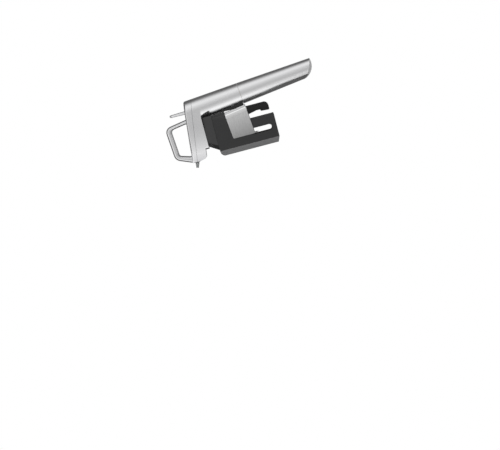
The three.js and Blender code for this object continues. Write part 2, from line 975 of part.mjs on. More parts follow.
function clampCap() {
  const slope = (capHalfWidthBase - capHalfWidthTop) / (capTop - capBase);
  const frontSlope = (capFrontBase - capFrontTop) / (capTop - capBase);
  const outer = lofted([
    capRing(-capFrontBase, capHalfWidthBase, 0, capBase),
    capRing(-capFrontTop, capHalfWidthTop, 0, capTop),
  ]);
  const innerTop = capTop - capWall;
  const lowFront = -capFrontBase - frontSlope * overrun;
  const lowHalf = capHalfWidthBase + slope * overrun;
  const highFront = -capFrontTop - frontSlope * capWall;
  const highHalf = capHalfWidthTop + slope * capWall;
  const inner = lofted([
    capRing(lowFront, lowHalf, capWall, capBase - overrun),
    capRing(highFront, highHalf, capWall, innerTop),
  ]);
  const guideHole = solid(rod(guideNeckRadius + fitGap, capBase, capTop + overrun));
  const rearWindow = block(
    frameRear - fitGap,
    capRear + overrun,
    -runnerFootHalfWidth - fitGap,
    runnerFootHalfWidth + fitGap,
    capBase - overrun,
    innerTop,
  );
  return surface(outer.subtract(inner).subtract(guideHole).subtract(rearWindow));
}

function lugOutline() {
  const near = spineFront;
  const far = 2 * pivotX - spineFront;
  return rectangle(near, -pivotY, far, pivotY);
}

function clampFrame() {
  const base = lipSeatThickness + fitGap;
  let body = solid(rod(frameDiscRadius, base, frameDiscTop, roundSteps));
  const lift = frameTop - guideShoulder;
  const upper = across([
    [-frameFront, base],
    [-frameFront, guideShoulder],
    [-frameFront + lift, frameTop],
    [frameRear, frameTop],
    [frameRear, base],
  ], -frameHalfWidth, frameHalfWidth);
  const lugFoot = -lugDrop - lugThickness;
  const spine = block(spineFront, spineRear, -spineHalfWidth, spineHalfWidth, lugFoot, capBase);
  body = body.add(upper).add(spine);
  const lugs = [
    [lugFoot, -lugDrop],
    [capBase - fitGap - lugThickness, capBase - fitGap],
  ];
  lugs.forEach(([bottom, top]) => {
    body = body.add(upright(lugOutline(), bottom, top));
    [-pivotY, pivotY].forEach((y) => {
      body = body.add(uprightRod(pivotX, y, lugRadius, bottom, top));
    });
  });
  [-pivotY, pivotY].forEach((y) => {
    const pinEnd = capBase - fitGap - lugThickness / 3;
    body = body.subtract(uprightRod(pivotX, y, pinRadius + fitGap, -reach, pinEnd));
  });
  body = body.subtract(solid(rod(guideRadius + fitGap, 0, guideShoulder + fitGap)));
  body = body.subtract(solid(rod(guideNeckRadius + fitGap, 0, frameTop + overrun)));
  [-1, 1].forEach((side) => {
    const y = (side * runnerScrewSpacing) / 2;
    const bore = rod(runnerScrewRadius + fitGap, frameRear - runnerScrewLength, frameRear + overrun);
    body = body.subtract(solid(bore.rotateY(halfPi).translate(0, y, runnerScrewHeight)));
  });
  return surface(body);
}

function needleGuide() {
  const bottom = lipSeatThickness + fitGap;
  const bore = needleRadius + fitGap;
  return revolved([
    [bore, bottom],
    [guideRadius, bottom],
    [guideRadius, guideShoulder],
    [guideNeckRadius, guideShoulder],
    [guideNeckRadius, capTop - fitGap],
    [bore, capTop - fitGap],
    [bore, bottom],
  ], smallSteps);
}

// Jaws: built for the left side (-Y) and mirrored for the right

function mirrored(geometry) {
  const copy = geometry.clone();
  const position = copy.attributes.position;
  for (let i = 0; i < position.count; i += 3) {
    const first = new THREE.Vector3().fromBufferAttribute(position, i);
    const second = new THREE.Vector3().fromBufferAttribute(position, i + 1);
    const third = new THREE.Vector3().fromBufferAttribute(position, i + 2);
    position.setXYZ(i, first.x, -first.y, first.z);
    position.setXYZ(i + 1, third.x, -third.y, third.z);
    position.setXYZ(i + 2, second.x, -second.y, second.z);
  }
  copy.computeVertexNormals();
  return copy;
}

function plateRear(z) {
  const share = (-plateTopRear - z) / (plateBottomRear - plateTopRear);
  return plateRearTop + (plateRearBottom - plateRearTop) * share;
}

// Plan section of the plate between two distances out from the jaw's side

function plateSection(z, inner, outer) {
  const points = [];
  const centreX = plateRear(z) - plateBend;
  const centreY = plateBend - jawHalfWidth - fitGap - plateThickness;
  const arc = (radius, k) => {
    const angle = -halfPi + (halfPi * k) / cornerSteps;
    return [centreX + radius * Math.cos(angle), centreY + radius * Math.sin(angle)];
  };
  points.push([plateFront, centreY - plateBend - outer]);
  for (let k = 0; k <= cornerSteps; k += 1) points.push(arc(plateBend + outer, k));
  for (let k = cornerSteps; k >= 0; k -= 1) points.push(arc(plateBend - inner, k));
  points.push([plateFront, centreY - plateBend + inner]);
  return level(points, z);
}

function plateBody(inner, outer) {
  return lofted([
    plateSection(-plateBottomFront - overrun, inner, outer),
    plateSection(-plateTopRear + overrun, inner, outer),
  ]);
}

function jawPlate() {
  const outline = across([
    [plateFront, -plateTopFront, plateCorner],
    [plateRear(-plateTopRear) + fitGap, -plateTopRear],
    [plateRear(-plateBottomRear) + fitGap, -plateBottomRear],
    [plateFront - fitGap, -plateBottomFront, plateCorner / 2],
  ], -reach, reach);
  return surface(plateBody(plateThickness, 0).intersect(outline));
}

function jawShell() {
  const top = capBase - fitGap;
  const plan = [
    [-jawFront, -jawMeeting],
    [-jawFront, -jawFrontFlat],
    [-jawFacetRear, -jawHalfWidth],
    [skirtRear, -jawHalfWidth],
    [skirtRear, -jawMeeting],
  ];
  let body = upright(plan, -jawBottom, top);
  const side = across([
    [-jawFront - fitGap, top, jawShoulder],
    [-jawFront - fitGap, jawBottomSlant - jawBottom],
    [-jawFacetRear, -jawBottom],
    [reach, -jawBottom],
    [reach, top],
  ], -reach, reach);
  const innerFace = armThickness - jawHalfWidth;
  const arm = block(skirtRear - fitGap, armRear, -jawHalfWidth, innerFace, -armBottom, top);
  const boss = uprightRod(pivotX, -pivotY, pivotBoss, -armBottom, top);
  const cavity = neckRadius + padThickness + 2 * fitGap;
  body = body.subtract(solid(rod(cavity, -jawBottom - overrun, lipSeatThickness, roundSteps)));
  const roomHalf = frameDiscRadius + 2 * fitGap;
  body = body.subtract(block(-roomHalf, skirtRear + overrun, -roomHalf, 0, 0, top - jawRoof));
  body = body.subtract(block(-capFrontBase, skirtRear + overrun, -roomHalf, 0, 0, top + overrun));
  const openHalf = spineHalfWidth + 2 * fitGap;
  const openBottom = -jawBottom - overrun;
  body = body.subtract(block(0, skirtRear + overrun, -openHalf, 0, openBottom, top + overrun));
  body = body.add(arm).add(boss);
  const lugRoom = lugRadius + 3 * fitGap;
  const lowLugTop = fitGap - lugDrop;
  const highLugBottom = capBase - lugThickness - 2 * fitGap;
  body = body.subtract(uprightRod(pivotX, -pivotY, lugRoom, -armBottom - overrun, lowLugTop));
  body = body.subtract(uprightRod(pivotX, -pivotY, lugRoom, highLugBottom, top + overrun));
  const lugGap = rectangle(pivotX - lugRoom, -pivotY, pivotX + lugRoom, 0);
  body = body.subtract(upright(lugGap, -armBottom - overrun, lowLugTop));
  body = body.subtract(upright(lugGap, highLugBottom, top + overrun));
  body = body.subtract(uprightRod(pivotX, -pivotY, pinRadius + fitGap, -armBottom, top));
  const paddle = across([
    [paddleFront, -armBottom + fitGap],
    [paddleFront, -paddleNotchTop],
    [paddleFront + paddleNotchDepth, (paddleNotchTop + paddleNotchBottom) / -2, paddleNotchDepth],
    [paddleFront, -paddleNotchBottom],
    [paddleFront - paddleNotchDepth / 3, -paddleBottom, paddleNotchDepth / 2],
    [armRear, -paddleBottom, paddleEndRadius],
    [armRear, -armBottom + fitGap],
  ], -jawHalfWidth, paddleThickness - jawHalfWidth);
  body = body.add(paddle);
  const window = [
    [-slotFront, -slotTop],
    [slotRear, -slotTop],
    [slotRear, -slotBottom, slotRear / 2],
    [-slotFront, -slotBottom, slotRear / 2],
  ];
  body = body.subtract(across(window, -reach, 0));
  const bevel = [
    [slotRear - fitGap, -slotTop],
    [slotRear + slotBevel, -slotTop],
    [slotRear + slotBevel, -slotBottom - slotBevel / 2, slotBevel / 2],
    [slotRear - fitGap, -slotBottom],
  ];
  body = body.subtract(across(bevel, -jawHalfWidth - overrun, slotBevelDepth - jawHalfWidth));
  const pocketCut = crossRod(
    jawSpringX,
    -jawSpringDrop,
    jawSpringRadius + 3 * fitGap,
    innerFace - springPocket,
    0,
  );
  body = body.subtract(pocketCut);
  const clearance = plateBody(plateThickness + fitGap, overrun);
  const belowTop = across([
    [-reach, -reach],
    [reach, -reach],
    [reach, plateTopGapLine(reach)],
    [-reach, plateTopGapLine(-reach)],
  ], -reach, reach);
  body = body.subtract(clearance.intersect(belowTop));
  return surface(body.intersect(side));
}

// Upper edge of the plate, with the gap that the jaw keeps above it

function plateTopGapLine(x) {
  const slope = (plateTopFront - plateTopRear) / (plateRearTop - plateFront);
  return fitGap - plateTopFront + (x - plateFront) * slope;
}

function jawPad() {
  const inner = neckRadius + fitGap;
  const outer = neckRadius + padThickness + fitGap;
  const steps = smallSteps;
  const points = [];
  for (let k = 0; k <= steps; k += 1) {
    const angle = -halfPi - padSpan / 2 + (padSpan * k) / steps;
    points.push([outer * Math.cos(angle), outer * Math.sin(angle)]);
  }
  for (let k = steps; k >= 0; k -= 1) {
    const angle = -halfPi - padSpan / 2 + (padSpan * k) / steps;
    points.push([inner * Math.cos(angle), inner * Math.sin(angle)]);
  }
  const window = [
    [-slotFront - fitGap, -slotTop + fitGap],
    [slotRear + fitGap, -slotTop + fitGap],
    [slotRear + fitGap, -slotBottom - fitGap, slotRear / 2],
    [-slotFront - fitGap, -slotBottom - fitGap, slotRear / 2],
  ];
  return surface(upright(points, -padBottom, -padTop).subtract(across(window, -reach, 0)));
}

function jawSpring() {
  const half = jawHalfWidth - armThickness + springPocket - fitGap;
  return coil(jawSpringRadius, jawSpringWire, -half, half, jawSpringTurns)
    .rotateX(halfPi)
    .translate(jawSpringX, 0, -jawSpringDrop);
}

// Needle and flow path

function needle() {
  const top = hubTop - fitGap;
  return revolved([
    [0, -needleReach],
    [needleRadius, needlePoint - needleReach],
    [needleRadius, top],
    [needleBore, top],
    [needleBore, 2 * needlePoint - needleReach],
    [0, 2 * needlePoint - needleReach],
  ], needleSteps);
}

function needleHub() {
  const bore = needleRadius + fitGap;
  return revolved([
    [bore, hubBottom],
    [hubRadius - fitGap, hubBottom],
    [hubRadius, hubBottom + fitGap],
    [hubRadius, hubShoulder],
    [hubThreadRadius, hubShoulder],
    [hubThreadRadius, hubTop],
    [bore, hubTop],
    [bore, hubBottom],
  ], smallSteps);
}

function flowManifold() {
  const outline = [
    [-manifoldFront, manifoldBase],
    [manifoldRear, manifoldBase],
    [manifoldRear, manifoldTop],
    [-manifoldTowerRear, manifoldTop],
    [-manifoldTowerRear, manifoldTowerTop],
    [-manifoldFront, manifoldTowerTop],
  ];
  let body = across(outline, -manifoldHalfWidth, manifoldHalfWidth);
  const port = hubThreadRadius + fitGap;
  body = body.subtract(solid(rod(port, 0, hubTop + fitGap)));
  const riserX = 1.5 * channelRadius - manifoldFront;
  const channel = rod(channelRadius, riserX, gasPortX + channelRadius).rotateY(halfPi);
  body = body.subtract(crossRod(gasPortX, channelHeight, channelRadius, -manifoldHalfWidth - overrun, 0));
  body = body.subtract(solid(channel.translate(0, 0, channelHeight)));
  body = body.subtract(uprightRod(riserX, 0, channelRadius, channelHeight, spoutHeight - channelRadius));
  body = body.subtract(onSpout(rod(spoutRadius + fitGap, -spoutInner - fitGap, 0)));
  return surface(body);
}

function spout() {
  return revolved([
    [spoutBore, -spoutInner],
    [spoutRadius, -spoutInner],
    [spoutRadius, 0],
    [spoutTipRadius, spoutLength],
    [spoutBore, spoutLength],
    [spoutBore, -spoutInner],
  ], smallSteps).applyMatrix4(spoutTurn);
}

function spoutSeal() {
  const middle = (manifoldFront + headFront - noseWall) / 2;
  const along = (headFront - middle) / Math.cos(spoutAngle);
  const wire = (spoutCollar - spoutRadius - fitGap) / 2;
  return ring(spoutRadius + fitGap + wire, wire, -along).applyMatrix4(spoutTurn);
}

function coverScrew(x, y) {
  const bottom = capTop + 2 * fitGap;
  const seat = bottom + coverScrewHeadLength;
  const tip = topLine(x) - 2 * headWall;
  return revolved([
    [0, bottom],
    [coverScrewHead, bottom],
    [coverScrewHead, seat - fitGap],
    [coverScrewRadius, seat - fitGap],
    [coverScrewRadius, tip],
    [0, tip],
  ], smallSteps).translate(x, y, 0);
}

// Regulator: every height is measured along the handle axis from the lip plane

const spigotEnd = seamDrop + fitGap + spigotLength;
const socketTop = spigotEnd - socketDepth;
const chamberFloor = socketTop - inletLength;

function regulatorBody() {
  return revolved([
    [socketRadius, -spigotEnd],
    [spigotRadius, -spigotEnd],
    [spigotRadius, -seamDrop - fitGap],
    [bodyRadius, -seamDrop - fitGap],
    [bodyRadius, -bodyTopDrop],
    [chamberRadius, -bodyTopDrop],
    [chamberRadius, -chamberFloor],
    [inletRadius, -chamberFloor],
    [inletRadius, -socketTop],
    [socketRadius, -socketTop],
    [socketRadius, -spigotEnd],
  ], roundSteps);
}

function regulatorBonnet() {
  const bottom = fitGap - bodyTopDrop;
  const bore = stemRadius + fitGap;
  return revolved([
    [bore, bottom],
    [bonnetCollarRadius, bottom],
    [bonnetCollarRadius, bottom + bonnetCollarLength],
    [bonnetRadius, bottom + bonnetCollarLength],
    [bonnetRadius, bonnetShoulderRise],
    [bonnetNeckRadius, bonnetShoulderRise],
    [bonnetNeckRadius, bonnetTopRise],
    [stemPocketRadius, bonnetTopRise],
    [stemPocketRadius, stemPocketFloor],
    [bore, stemPocketFloor],
    [bore, bottom],
  ], smallSteps);
}

function valveStem() {
  return revolved([
    [0, -bodyTopDrop - stemTailLength],
    [stemRadius, -bodyTopDrop - stemTailLength],
    [stemRadius, stemHeadRise],
    [stemHeadRadius, stemHeadRise],
    [stemHeadRadius, stemHeadRise + stemHeadLength],
    [0, stemHeadRise + stemHeadLength],
  ], smallSteps);
}

function valveSpring() {
  const radius = stemRadius + 2 * fitGap + valveSpringWire / 2;
  return coil(radius, valveSpringWire, stemPocketFloor + fitGap, stemHeadRise - fitGap, valveSpringTurns);
}

const pistonBottom = pistonLift - chamberFloor;
const grooveRadius = pistonRadius - 2 * pistonRingWire;
const grooveBottom = pistonBottom + pistonLength / 2 - 2 * pistonRingWire;
const grooveTop = pistonBottom + pistonLength / 2 + 2 * pistonRingWire;

function regulatorPiston() {
  const foot = pistonRadius / 2;
  return revolved([
    [0, fitGap - chamberFloor],
    [foot, fitGap - chamberFloor],
    [foot, pistonBottom],
    [pistonRadius, pistonBottom],
    [pistonRadius, grooveBottom],
    [grooveRadius, grooveBottom],
    [grooveRadius, grooveTop],
    [pistonRadius, grooveTop],
    [pistonRadius, pistonBottom + pistonLength],
    [0, pistonBottom + pistonLength],
  ], pistonSteps);
}

function pistonRing() {
  const wire = pistonRingWire;
  return ring(grooveRadius + wire + fitGap / 2, wire, (grooveBottom + grooveTop) / 2, pistonSteps);
}

function regulatorSpring() {
  const bottom = pistonBottom + pistonLength + fitGap;
  return coil(regulatorSpringRadius, regulatorSpringWire, bottom, -bodyTopDrop, regulatorSpringTurns);
}

const flangeTop = -socketTop - fitGap;
const flangeBottom = flangeTop - piercerFlangeLength;

function piercingPin() {
  return revolved([
    [0, flangeBottom - piercerReach],
    [piercerRadius, flangeBottom - piercerReach + 2 * piercerRadius],
    [piercerRadius, flangeBottom],
    [piercerFlange, flangeBottom],
    [piercerFlange, flangeTop],
    [piercerRadius, flangeTop],
    [piercerRadius, flangeTop + inletLength / 2],
    [0, flangeTop + inletLength / 2],
  ], smallSteps);
}

const gasketBottom = flangeBottom - fitGap - gasketThickness;

function capsuleGasket() {
  return pipe(gasketBore, socketRadius - fitGap, gasketBottom, gasketBottom + gasketThickness);
}

const capsuleTop = gasketBottom - fitGap;

// One face of the capsule's shell, from its neck down to the dome's middle

function capsuleFace(neckRadius, inset) {
  const shoulderTop = capsuleTop - capsuleNeckLength - inset;
  const domeTop = capsuleTop - capsuleLength + capsuleDome;
  const radius = capsuleRadius - inset;
  const points = [];
  for (let k = 0; k <= cornerSteps; k += 1) {
    const angle = (halfPi * k) / cornerSteps;
    const drop = capsuleShoulder * (1 - Math.cos(angle));
    points.push([neckRadius + (radius - neckRadius) * Math.sin(angle), shoulderTop - drop]);
  }
  for (let k = 0; k < cornerSteps; k += 1) {
    const angle = (halfPi * k) / cornerSteps;
    points.push([radius * Math.cos(angle), domeTop - (capsuleDome - inset) * Math.sin(angle)]);
  }
  points.push([0, domeTop - capsuleDome + inset]);
  return points;
}

function gasCapsule() {
  const inside = capsuleFace(capsuleMouthRadius, capsuleWall).reverse();
  const mouth = [[capsuleMouthRadius, capsuleTop], [capsuleNeckRadius, capsuleTop]];
  return revolved([...inside, ...mouth, ...capsuleFace(capsuleNeckRadius, 0)], pistonSteps);
}

function capsuleCup() {
  const top = -seamDrop - fitGap;
  const length = cupEndDrop + top;
  const outer = solid(revolved([
    [0, -cupEndDrop],
    [tubeRadius(top) - cupTaperShare * length, -cupEndDrop],
    [tubeRadius(top), top],
    [0, top],
  ], roundSteps));
  const domeTop = capsuleTop - capsuleLength + capsuleDome;
  const bore = capsuleRadius + 1.5 * fitGap;
  const inside = [[0, top + overrun], [bore, top + overrun]];
  for (let k = 0; k < cornerSteps; k += 1) {
    const angle = (halfPi * k) / cornerSteps;
    inside.push([bore * Math.cos(angle), domeTop - (capsuleDome + fitGap) * Math.sin(angle)]);
  }
  inside.push([0, domeTop - capsuleDome - fitGap]);
  const end = [[0, 0], [cupEndRadius + cupTaperShare * cupEndCentre, 0]];
  end.push([cupEndRadius, -cupEndCentre]);
  for (let k = 1; k < domeSteps; k += 1) {
    const angle = (halfPi * k) / domeSteps;
    end.push([cupEndRadius * Math.cos(angle), -cupEndCentre - cupEndRadius * Math.sin(angle)]);
  }
  end.push([0, -cupEndCentre - cupEndRadius]);
  const dome = solid(revolved(end, roundSteps).translate(cupEndOffset, 0, 0));
  return surface(outer.intersect(dome).subtract(solid(revolved(inside, roundSteps))));
}

// Trigger lever: thumb blade above the head, foot on the valve stem below

function triggerLever() {
  const shankHalf = triggerShankHalfWidth;
  const footZ = footLevel();
  const axisX = handleAxisX(footZ);
  const shank = across([
    [triggerRootFront, triggerBladeFoot + overrun],
    [triggerRootFront, triggerPivotZ + triggerHub],
    [axisX - stemHeadRadius, footZ + stemHeadRadius],
    [axisX - stemHeadRadius / 2, footZ, stemRadius / 2],
    [axisX + stemHeadRadius / 2, footZ, stemRadius / 2],
    [triggerPivotX, triggerPivotZ - triggerHub + fitGap],
    [triggerPivotX, triggerPivotZ + triggerHub - fitGap],
    [triggerRootFront + triggerRootThickness, triggerBladeFoot],
    [triggerRootFront + triggerRootThickness, triggerBladeFoot + overrun],
  ], -shankHalf, shankHalf);
  const blade = across([
    [triggerRootFront, triggerBladeFoot],
    [triggerRootFront + triggerRootThickness, triggerBladeFoot],
    [triggerTipFront + triggerTipThickness, triggerTop, triggerTipThickness * triggerTipRoundShare],
    [triggerTipFront, triggerTop, triggerTipThickness * triggerTipRoundShare],
  ], -triggerBladeHalfWidth, triggerBladeHalfWidth);
  const bladeFace = along([
    [-triggerBladeHalfWidth, triggerBladeFoot - overrun],
    [triggerBladeHalfWidth, triggerBladeFoot - overrun],
    [triggerBladeHalfWidth, triggerTop, triggerBladeHalfWidth * triggerTipCornerShare],
    [-triggerBladeHalfWidth, triggerTop, triggerBladeHalfWidth * triggerTipCornerShare],
  ], 0, reach);
  const hub = crossRod(triggerPivotX, triggerPivotZ, triggerHub, -shankHalf, shankHalf);
  const bore = crossRod(triggerPivotX, triggerPivotZ, triggerPinRadius + fitGap, -reach, reach);
  return surface(shank.add(blade.intersect(bladeFace)).add(hub).subtract(bore));
}

function footLevel() {
  const rise = stemHeadRise + stemHeadLength + fitGap;
  return rise * Math.cos(leanAngle) + stemHeadRadius * Math.sin(leanAngle);
}

function triggerPin() {
  return rod(triggerPinRadius, -triggerPinHalfLength, triggerPinHalfLength)
    .rotateX(halfPi)
    .translate(triggerPivotX, 0, triggerPivotZ);
}

// Gas tube from the bonnet's neck to the rear port of the manifold

function gasTube() {
  const portRise = (wellFloorRise + bonnetTopRise) / 2;
  const startX = handleAxisX(portRise);
  const sideY = -(trackHalfWidth + fitGap + gasTubeRadius + fitGap);
  const course = [
    [startX, -bonnetNeckRadius - fitGap, portRise],
    [startX, sideY + gasTubeRadius, portRise + gasTubeRadius],
    [trackFace + trackDepth, sideY, manifoldBase - 2 * gasTubeRadius],
    [trackFace, sideY + fitGap, channelHeight],
    [gasPortX + 4 * gasTubeRadius, sideY + gasTubeRadius, channelHeight],
    [gasPortX + gasTubeRadius / 3, -manifoldHalfWidth - 2 * gasTubeRadius, channelHeight],
    [gasPortX, -manifoldHalfWidth - fitGap, channelHeight],
  ];
  const curve = new THREE.CatmullRomCurve3(course.map(([x, y, z]) => new THREE.Vector3(x, y, z)));
  const section = [];
  for (let k = 0; k < gasTubeSides; k += 1) {
    const angle = (k * 2 * Math.PI) / gasTubeSides;
    section.push(new THREE.Vector2(gasTubeRadius * Math.cos(angle), gasTubeRadius * Math.sin(angle)));
  }
  const options = { steps: gasTubeSteps, bevelEnabled: false, extrudePath: curve };
  return surface(solid(new THREE.ExtrudeGeometry(new THREE.Shape(section), options)));
}

// Finishes

const satinAluminium = { color: 0xc9c9c9, metalness: 0.9, roughness: 0.32 };
const brushedSteel = { color: 0xb4b4b4, metalness: 0.9, roughness: 0.38 };
const blackPlastic = { color: 0x353535, metalness: 0, roughness: 0.45 };
const trackPlastic = { color: 0x151515, metalness: 0, roughness: 0.4 };
const rubber = { color: 0x1c1c1c, metalness: 0, roughness: 0.85 };
const brass = { color: 0xb58e4a, metalness: 0.9, roughness: 0.35 };
const steel = { color: 0x9a9c9e, metalness: 0.95, roughness: 0.3 };
const clearPlastic = { color: 0xd6dadb, metalness: 0, roughness: 0.15 };
const palePlastic = { color: 0xd9d7cf, metalness: 0, roughness: 0.5 };

const dispenser = new THREE.Group();
const handle = new THREE.Group();
handle.applyMatrix4(handleTurn);
dispenser.add(handle);

function piece(name, geometry, finish, parent = dispenser) {
  const mesh = new THREE.Mesh(geometry, new THREE.MeshStandardMaterial(finish));
  mesh.name = name;
  parent.add(mesh);
  return mesh;
}

// Clamp
piece('clamp_frame', clampFrame(), blackPlastic);
piece('clamp_cap', clampCap(), blackPlastic);
piece('needle_guide', needleGuide(), palePlastic);
piece('lip_seat', pipe(lipSeatBore, lipSeatRadius, 0, lipSeatThickness, roundSteps), rubber);
piece('slide_carriage', slideCarriage(), steel);
[['left', -1], ['right', 1]].forEach(([name, side]) => {
  const screw = piece(`carriage_screw_${name}`, carriageScrew(), steel);
  screw.position.set(0, (side * runnerScrewSpacing) / 2, runnerScrewHeight);
  const pinTop = capBase - fitGap - lugThickness / 3 - fitGap;
  const pin = piece(`jaw_pin_${name}`, rod(pinRadius, -lugDrop - lugThickness, pinTop), steel);
  pin.position.set(pivotX, side * pivotY, 0);
});
piece('jaw_spring', jawSpring(), steel);

// Jaws
const leftShell = jawShell();
const leftPad = jawPad();
const leftPlate = jawPlate();
piece('jaw_left_shell', leftShell, blackPlastic);
piece('jaw_left_pad', leftPad, rubber);
piece('jaw_left_plate', leftPlate, brushedSteel);
piece('jaw_right_shell', mirrored(leftShell), blackPlastic);
piece('jaw_right_pad', mirrored(leftPad), rubber);
piece('jaw_right_plate', mirrored(leftPlate), brushedSteel);

// Head and handle
piece('handle_casting', handleCasting(), satinAluminium);
piece('head_cover', headCover(), satinAluminium);
piece('track_insert', trackInsert(), trackPlastic);
piece('flow_manifold', flowManifold(), palePlastic);
piece('needle', needle(), steel);
piece('needle_hub', needleHub(), brass);
const hubRingHeight = (hubShoulder + manifoldBase) / 2;
const hubRingMiddle = hubThreadRadius + fitGap + hubRingRadius;
piece('needle_o_ring', ring(hubRingMiddle, hubRingRadius, hubRingHeight), rubber);
piece('spout', spout(), clearPlastic);
piece('spout_seal', spoutSeal(), rubber);
screwPlaces.forEach(([name, x, y]) => {
  piece(`cover_screw_${name}`, coverScrew(x, y), steel);
});
piece('trigger_pin', triggerPin(), steel);
piece('gas_tube', gasTube(), palePlastic);
piece('regulator_body', regulatorBody(), brass, handle);
piece('regulator_bonnet', regulatorBonnet(), brass, handle);
piece('regulator_piston', regulatorPiston(), brass, handle);
piece('piston_o_ring', pistonRing(), rubber, handle);
piece('regulator_spring', regulatorSpring(), steel, handle);
piece('piercing_pin', piercingPin(), steel, handle);
piece('capsule_gasket', capsuleGasket(), rubber, handle);

// Trigger and valve
piece('trigger_lever', triggerLever(), satinAluminium);
piece('valve_stem', valveStem(), steel, handle);
piece('valve_spring', valveSpring(), steel, handle);

// Gas supply
piece('gas_capsule', gasCapsule(), steel, handle);
piece('capsule_cup', capsuleCup(), satinAluminium, handle);

export default dispenser;
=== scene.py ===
from math import cos, pi, radians, sin

import bmesh
import bpy
from mathutils import Matrix, Vector
from mathutils.bvhtree import BVHTree


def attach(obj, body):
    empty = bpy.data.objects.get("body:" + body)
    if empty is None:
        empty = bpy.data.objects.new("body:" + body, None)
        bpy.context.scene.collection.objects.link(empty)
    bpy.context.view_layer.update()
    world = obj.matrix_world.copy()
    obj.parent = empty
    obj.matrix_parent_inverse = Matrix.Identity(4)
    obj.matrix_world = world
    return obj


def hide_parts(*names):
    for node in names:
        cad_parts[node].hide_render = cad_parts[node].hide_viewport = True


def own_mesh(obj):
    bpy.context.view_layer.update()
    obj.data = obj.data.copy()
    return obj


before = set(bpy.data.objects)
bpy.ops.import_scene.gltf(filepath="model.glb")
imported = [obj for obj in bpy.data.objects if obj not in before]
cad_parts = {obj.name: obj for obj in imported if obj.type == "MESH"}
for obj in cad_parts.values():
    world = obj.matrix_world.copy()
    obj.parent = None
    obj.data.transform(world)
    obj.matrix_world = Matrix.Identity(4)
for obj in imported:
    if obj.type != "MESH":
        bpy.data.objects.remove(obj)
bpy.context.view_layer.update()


# Clamp frame: the inner frame that carries the jaw pins, glass-filled nylon, moulded in one piece.
# It is screwed to the slide carriage, and shows only between the jaws and from below.

def linear(code):
    """Scene colour of an sRGB hex value."""
    shares = [int(code[i:i + 2], 16) / 255 for i in (1, 3, 5)]
    return [s / 12.92 if s <= 0.04045 else ((s + 0.055) / 1.055) ** 2.4 for s in shares] + [1]


def add(tree, kind, inputs=None, **settings):
    """Adds a node with its settings, and its inputs as values or links."""
    made = tree.nodes.new(kind)
    for name, value in settings.items():
        setattr(made, name, value)
    for socket, value in (inputs or {}).items():
        if isinstance(value, bpy.types.NodeSocket):
            tree.links.new(value, made.inputs[socket])
        else:
            made.inputs[socket].default_value = value
    return made


def new_finish(name):
    """A new material, its nodes, its shader, and the place on the piece that its patterns read."""
    finish = bpy.data.materials.new(name)
    finish.use_nodes = True
    nodes = finish.node_tree
    place = add(nodes, "ShaderNodeTexCoord").outputs["Object"]
    return finish, nodes, nodes.nodes["Principled BSDF"], place


# Glass-filled nylon, moulded in a spark-eroded tool: a fine even grain breaks up its low sheen. Such
# a grain is too fine to show in the render, so it is drawn coarser.
nylon, tree, shader, place = new_finish("glass_filled_nylon")
shader.inputs["Base Color"].default_value = linear("#1f1f20")
shader.inputs["IOR"].default_value = 1.53
grain_mm, grain_depth_mm, patch_mm = 0.35, 0.04, 18
shiny, matt = 0.38, 0.46
grain = add(tree, "ShaderNodeTexNoise", {
    "Vector": place, "Scale": 1000 / grain_mm, "Detail": 2, "Roughness": 0.6})
patches = add(tree, "ShaderNodeTexNoise", {"Vector": place, "Scale": 1000 / patch_mm, "Detail": 3})
sheen = add(tree, "ShaderNodeMapRange", {
    "Value": patches.outputs["Fac"], "From Min": 0.35, "From Max": 0.65,
    "To Min": shiny, "To Max": matt})
relief = add(tree, "ShaderNodeBump", {
    "Height": grain.outputs["Fac"], "Strength": 0.25, "Distance": grain_depth_mm / 1000})
tree.links.new(sheen.outputs["Result"], shader.inputs["Roughness"])
tree.links.new(relief.outputs["Normal"], shader.inputs["Normal"])


def finish_with(piece, material):
    """Gives the whole piece one material."""
    piece.data.materials.clear()
    piece.data.materials.append(material)
    for face in piece.data.polygons:
        face.material_index = 0


finish_with(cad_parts["clamp_frame"], nylon)


# Needle guide and lip seat: an acetal bush that leads the needle, and the rubber disc that the clamp
# rests on. Both are pressed up into the frame from below.

# Acetal, turned: white, slightly waxy, light sinks in a little way.
acetal, tree, shader, place = new_finish("natural_acetal")
shader.inputs["Base Color"].default_value = linear("#dedbd2")
shader.inputs["IOR"].default_value = 1.48
shader.inputs["Subsurface Weight"].default_value = 0.2
shader.inputs["Subsurface Radius"].default_value = (0.001, 0.001, 0.001)
cloud_mm = 3
noise_low, noise_high = 0.3, 0.7
shiny, matt = 0.34, 0.5
cloud = add(tree, "ShaderNodeTexNoise", {"Vector": place, "Scale": 1000 / cloud_mm, "Detail": 3})
wax = add(tree, "ShaderNodeMapRange", {
    "Value": cloud.outputs["Fac"], "From Min": noise_low, "From Max": noise_high,
    "To Min": shiny, "To Max": matt})
tree.links.new(wax.outputs["Result"], shader.inputs["Roughness"])

# Nitrile rubber, moulded: matte black with a dusty bloom.
rubber, tree, shader, place = new_finish("nitrile_rubber")
shader.inputs["IOR"].default_value = 1.52
bloom_mm = 2.5
shiny, matt = 0.72, 0.88
bloom = add(tree, "ShaderNodeTexNoise", {"Vector": place, "Scale": 1000 / bloom_mm, "Detail": 5})
tone = add(tree, "ShaderNodeMix", {
    "Factor": bloom.outputs["Fac"], "A": linear("#151515"), "B": linear("#262625")},
    data_type="RGBA")
dust = add(tree, "ShaderNodeMapRange", {
    "Value": bloom.outputs["Fac"], "From Min": noise_low, "From Max": noise_high,
    "To Min": shiny, "To Max": matt})
tree.links.new(tone.outputs["Result"], shader.inputs["Base Color"])
tree.links.new(dust.outputs["Result"], shader.inputs["Roughness"])

finish_with(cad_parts["needle_guide"], acetal)
finish_with(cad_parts["lip_seat"], rubber)


